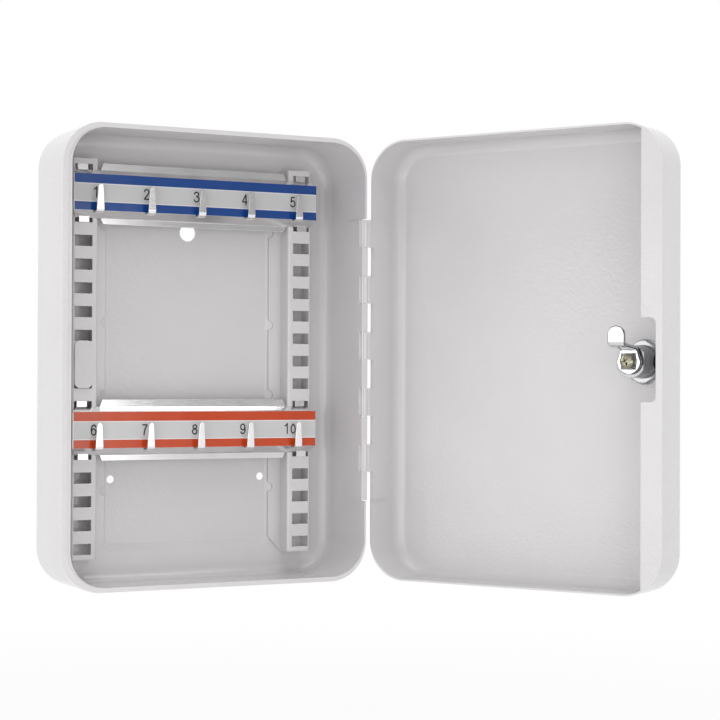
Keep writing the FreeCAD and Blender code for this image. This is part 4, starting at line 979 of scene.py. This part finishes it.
    def sweep(self, cam: bmesh.types.BMesh) -> None:
        """Sweep the bent sheet of the step and tongue from the ring's end.

        Args:
            cam: Geometry that is being built.
        """
        sections = [self.section(cam, place, along) for place, along in self.path()]
        for first, second in zip(sections, sections[1:]):
            join_loops(cam, first, second)
        cam.faces.new(sections[0])

    def finish_edges(self, cam: bmesh.types.BMesh) -> None:
        """Smooth the faces, keep the folds sharp and give the broken edges the dark rim finish, a painted dark
        reflection.

        Args:
            cam: Geometry that is being built.
        """
        low, high = self.rim_lean
        for face in cam.faces:
            face.smooth = True
            lean = abs(face.normal.dot(self.axis.inward))
            top = (face.calc_center_median() - self.axis.centre).dot(self.axis.upward)
            at_end = top > self.tongue_end - 2 * self.chamfer
            sideways = abs(face.normal.dot(self.axis.side)) > self.rim_turn
            # Chamfer faces that lean sideways or sit at the tongue's end get the painted dark reflection.
            face.material_index = 1 if low < lean < high and (sideways or at_end) else 0
        for edge in cam.edges:
            edge.smooth = len(edge.link_faces) == 2 and edge.calc_face_angle() < self.crease


@dataclass
class CamLock:
    """Cam lock in the door: bright cam, plated nut and washer, a barrel whose dark grey paints the dark reflections of
    its chrome, olive screw.
    """

    plated: tuple[str, ...] = ("lock_nut", "lock_washer", "cam_washer")
    cast: tuple[str, ...] = ("lock_housing", "turn_stop")
    brass: tuple[str, ...] = ("lock_wafers",)
    plug: str = "lock_plug"
    screw: str = "cam_screw"

    def build(self) -> None:
        """Finish the pieces of the lock."""
        chrome = PlatedMetal("bright_chrome", (0.70, 0.70, 0.71), (0.05, 0.11)).material()
        # Near-black chrome for the cam's broken edges: a painted dark reflection.
        rim = PlatedMetal("chrome_painted_dark_rim", (0.13, 0.13, 0.135), (0.08, 0.16)).material()
        axis = LockAxis.from_record()
        StepCam(chrome, rim, axis).build()
        # The nickel's rounded edges get a painted dark reflection in their base colour.
        nickel = PlatedMetal("plated_nickel", (0.40, 0.40, 0.41), (0.12, 0.22),
                             edge_radius=0.60 * MM, edge_tone=0.25).material()
        for node in self.plated:
            dress(node, nickel)
        # The barrel's dark grey base colour paints the dark reflections its chrome shows.
        barrel_painted_dark = PlatedMetal("barrel_nickel_painted_dark", (0.34, 0.34, 0.35), (0.16, 0.28)).material()
        for node in self.cast:
            dress(node, barrel_painted_dark)
        dress(self.plug, PlatedMetal("turned_nickel", (0.36, 0.36, 0.37), (0.14, 0.22)).material())
        yellow = PlatedMetal("machined_brass", (0.62, 0.50, 0.28), (0.20, 0.30)).material()
        for node in self.brass:
            dress(node, yellow)
        olive = PlatedMetal("passivated_brass", (0.30, 0.28, 0.21), (0.05, 0.12)).material()
        dress(self.screw, olive)
        # Near-black brass for the deep recess faces: painted shade in the recess.
        painted_recess_shade = PlatedMetal("recess_painted_shade", (0.035, 0.032, 0.020), (0.20, 0.30)).material()
        CrossHead(olive, painted_recess_shade, axis).build()


@dataclass(frozen=True)
class Softbox:
    """Soft area lamp whose face has a given brightness, where 1 is white."""

    name: str
    place: tuple[float, float, float]
    aim: tuple[float, float, float]
    width: float
    height: float
    brightness: float
    round: bool = False

    def hang(self) -> None:
        """Hang the lamp and turn it to what it lights."""
        data = bpy.data.lights.new(self.name, "AREA")
        data.shape = "ELLIPSE" if self.round else "RECTANGLE"
        data.size = self.width
        data.size_y = self.height
        face = self.width * self.height * (math.pi / 4 if self.round else 1.0)
        data.energy = self.brightness * math.pi * face
        lamp = bpy.data.objects.new(self.name, data)
        lamp.location = self.place
        lamp.rotation_euler = (Vector(self.aim) - Vector(self.place)).to_track_quat("-Z", "Y").to_euler()
        lamp.visible_camera = False
        bpy.context.collection.objects.link(lamp)
        LOG.info("%s hangs at %s", self.name, self.place)


@dataclass
class Studio:
    """Camera at the viewing angle, pale floor, white surroundings and soft lamps."""

    eye: tuple[float, float, float] = (-0.400958, -0.997425, -0.012842)
    turn: float = 0.474606
    pitch: float = 0.0104086
    roll: float = 0.0036892
    lens: float = 93.736
    shift_up: float = 0.003958
    floor_height: float = -0.300
    floor_half: float = 6.0
    dome: float = 0.58
    front_gloss: float = 0.40
    front_turn: tuple[float, float] = (-0.92, -0.50)
    softboxes: tuple[Softbox, ...] = (
        Softbox("front_softbox", (0.05, -0.97, -0.035), (0.05, 0.0, -0.035), 0.50, 0.47, 1.3),
        Softbox("left_disk", (-1.554, -0.405, -0.184), (0.19, -0.16, 0.0), 0.74, 0.74, 1.4, True),
        Softbox("rear_left_softbox", (-1.3, 0.5, 0.5), (-0.09, -0.02, 0.0), 0.9, 0.9, 2.5),
        Softbox("low_left_softbox", (-0.75, -1.15, -0.08), (0.09, 0.0, 0.05), 0.6, 0.42, 1.6),
        Softbox("side_softbox", (-1.15, -0.95, 0.0), (0.09, 0.0, 0.0), 0.5, 0.5, 1.4),
        Softbox("right_softbox", (1.6, -0.9, 0.4), (0.15, -0.15, 0.0), 0.8, 0.8, 1.6),
        Softbox("top_softbox", (0.1, -0.5, 1.6), (0.05, -0.05, 0.0), 1.4, 1.4, 2.2),
    )

    def build(self) -> None:
        """Place the camera, the floor, the surroundings and the lamps."""
        self.camera()
        self.floor()
        self.surroundings()
        for softbox in self.softboxes:
            softbox.hang()
        bpy.context.scene.view_settings.view_transform = "Standard"

    def camera(self) -> None:
        """Place the camera where the photograph was taken from."""
        data = bpy.data.cameras.new("camera")
        data.sensor_width = 36.0
        data.lens = self.lens
        data.shift_y = self.shift_up
        camera = bpy.data.objects.new("camera", data)
        camera.matrix_world = (
            Matrix.Translation(self.eye)
            @ Matrix.Rotation(-self.turn, 4, "Z")
            @ Matrix.Rotation(math.pi / 2 + self.pitch, 4, "X")
            @ Matrix.Rotation(self.roll, 4, "Z"))
        bpy.context.collection.objects.link(camera)
        bpy.context.scene.camera = camera

    def floor(self) -> None:
        """Lay the pale floor."""
        sheet = bmesh.new()
        bmesh.ops.create_grid(sheet, x_segments=8, y_segments=8, size=self.floor_half)
        mesh = finished_mesh("studio_floor", sheet)
        floor = bpy.data.objects.new("studio_floor", mesh)
        floor.location.z = self.floor_height
        bpy.context.collection.objects.link(floor)
        mesh.materials.append(StudioWhite().material())

    def surroundings(self) -> None:
        """White surroundings for camera, gloss and glass, and a plain grey dome for diffuse light."""
        world = bpy.data.worlds.new("studio")
        world.use_nodes = True
        tree = world.node_tree
        background = tree.nodes["Background"]
        background.inputs["Color"].default_value = (1.0, 1.0, 1.0, 1.0)
        path = tree.nodes.new("ShaderNodeLightPath")
        direction = tree.nodes.new("ShaderNodeTexCoord")
        split = tree.nodes.new("ShaderNodeSeparateXYZ")
        tree.links.new(direction.outputs["Generated"], split.inputs["Vector"])
        room = tree.nodes.new("ShaderNodeMapRange")
        room.inputs["From Min"].default_value = self.front_turn[0]
        room.inputs["From Max"].default_value = self.front_turn[1]
        room.inputs["To Min"].default_value = self.front_gloss
        room.inputs["To Max"].default_value = 1.0
        tree.links.new(split.outputs["Y"], room.inputs["Value"])
        lit = tree.nodes.new("ShaderNodeMapRange")
        lit.inputs["To Min"].default_value = self.dome
        tree.links.new(path.outputs["Is Glossy Ray"], lit.inputs["Value"])
        tree.links.new(room.outputs["Result"], lit.inputs["To Max"])
        direct = tree.nodes.new("ShaderNodeMath")
        direct.operation = "MAXIMUM"
        tree.links.new(path.outputs["Is Camera Ray"], direct.inputs[0])
        tree.links.new(path.outputs["Is Transmission Ray"], direct.inputs[1])
        seen = tree.nodes.new("ShaderNodeMapRange")
        seen.inputs["To Max"].default_value = 1.0
        tree.links.new(direct.outputs["Value"], seen.inputs["Value"])
        tree.links.new(lit.outputs["Result"], seen.inputs["To Min"])
        tree.links.new(seen.outputs["Result"], background.inputs["Strength"])
        bpy.context.scene.world = world


def main() -> None:
    """Build the finishes, the numbers and the studio."""
    logging.basicConfig(level=logging.INFO, format="%(message)s")
    SteelShells().build()
    zinc = PlatedMetal("bright_zinc", (0.88, 0.87, 0.875), (0.11, 0.19), Grain.ACROSS).material()
    ink = PrintingInk().material()
    NumberedRail(
        "upper_rail", "upper_hook_rail", "upper_number_strip", "upper_strip", Band.BLUE, zinc, ink,
        middle=91.0 * MM, first=1, places=tuple(x * MM for x in (-60.7, -31.1, -1.3, 28.2, 58.4))).build()
    NumberedRail(
        "lower_rail", "lower_hook_rail", "lower_number_strip", "lower_strip", Band.ORANGE, zinc, ink,
        middle=-39.5 * MM, first=6, places=tuple(x * MM for x in (-61.3, -31.6, -1.8, 27.6, 57.1))).build()
    CamLock().build()
    Studio().build()
    LOG.info("sizes written")


if __name__ == "__main__":
    main()
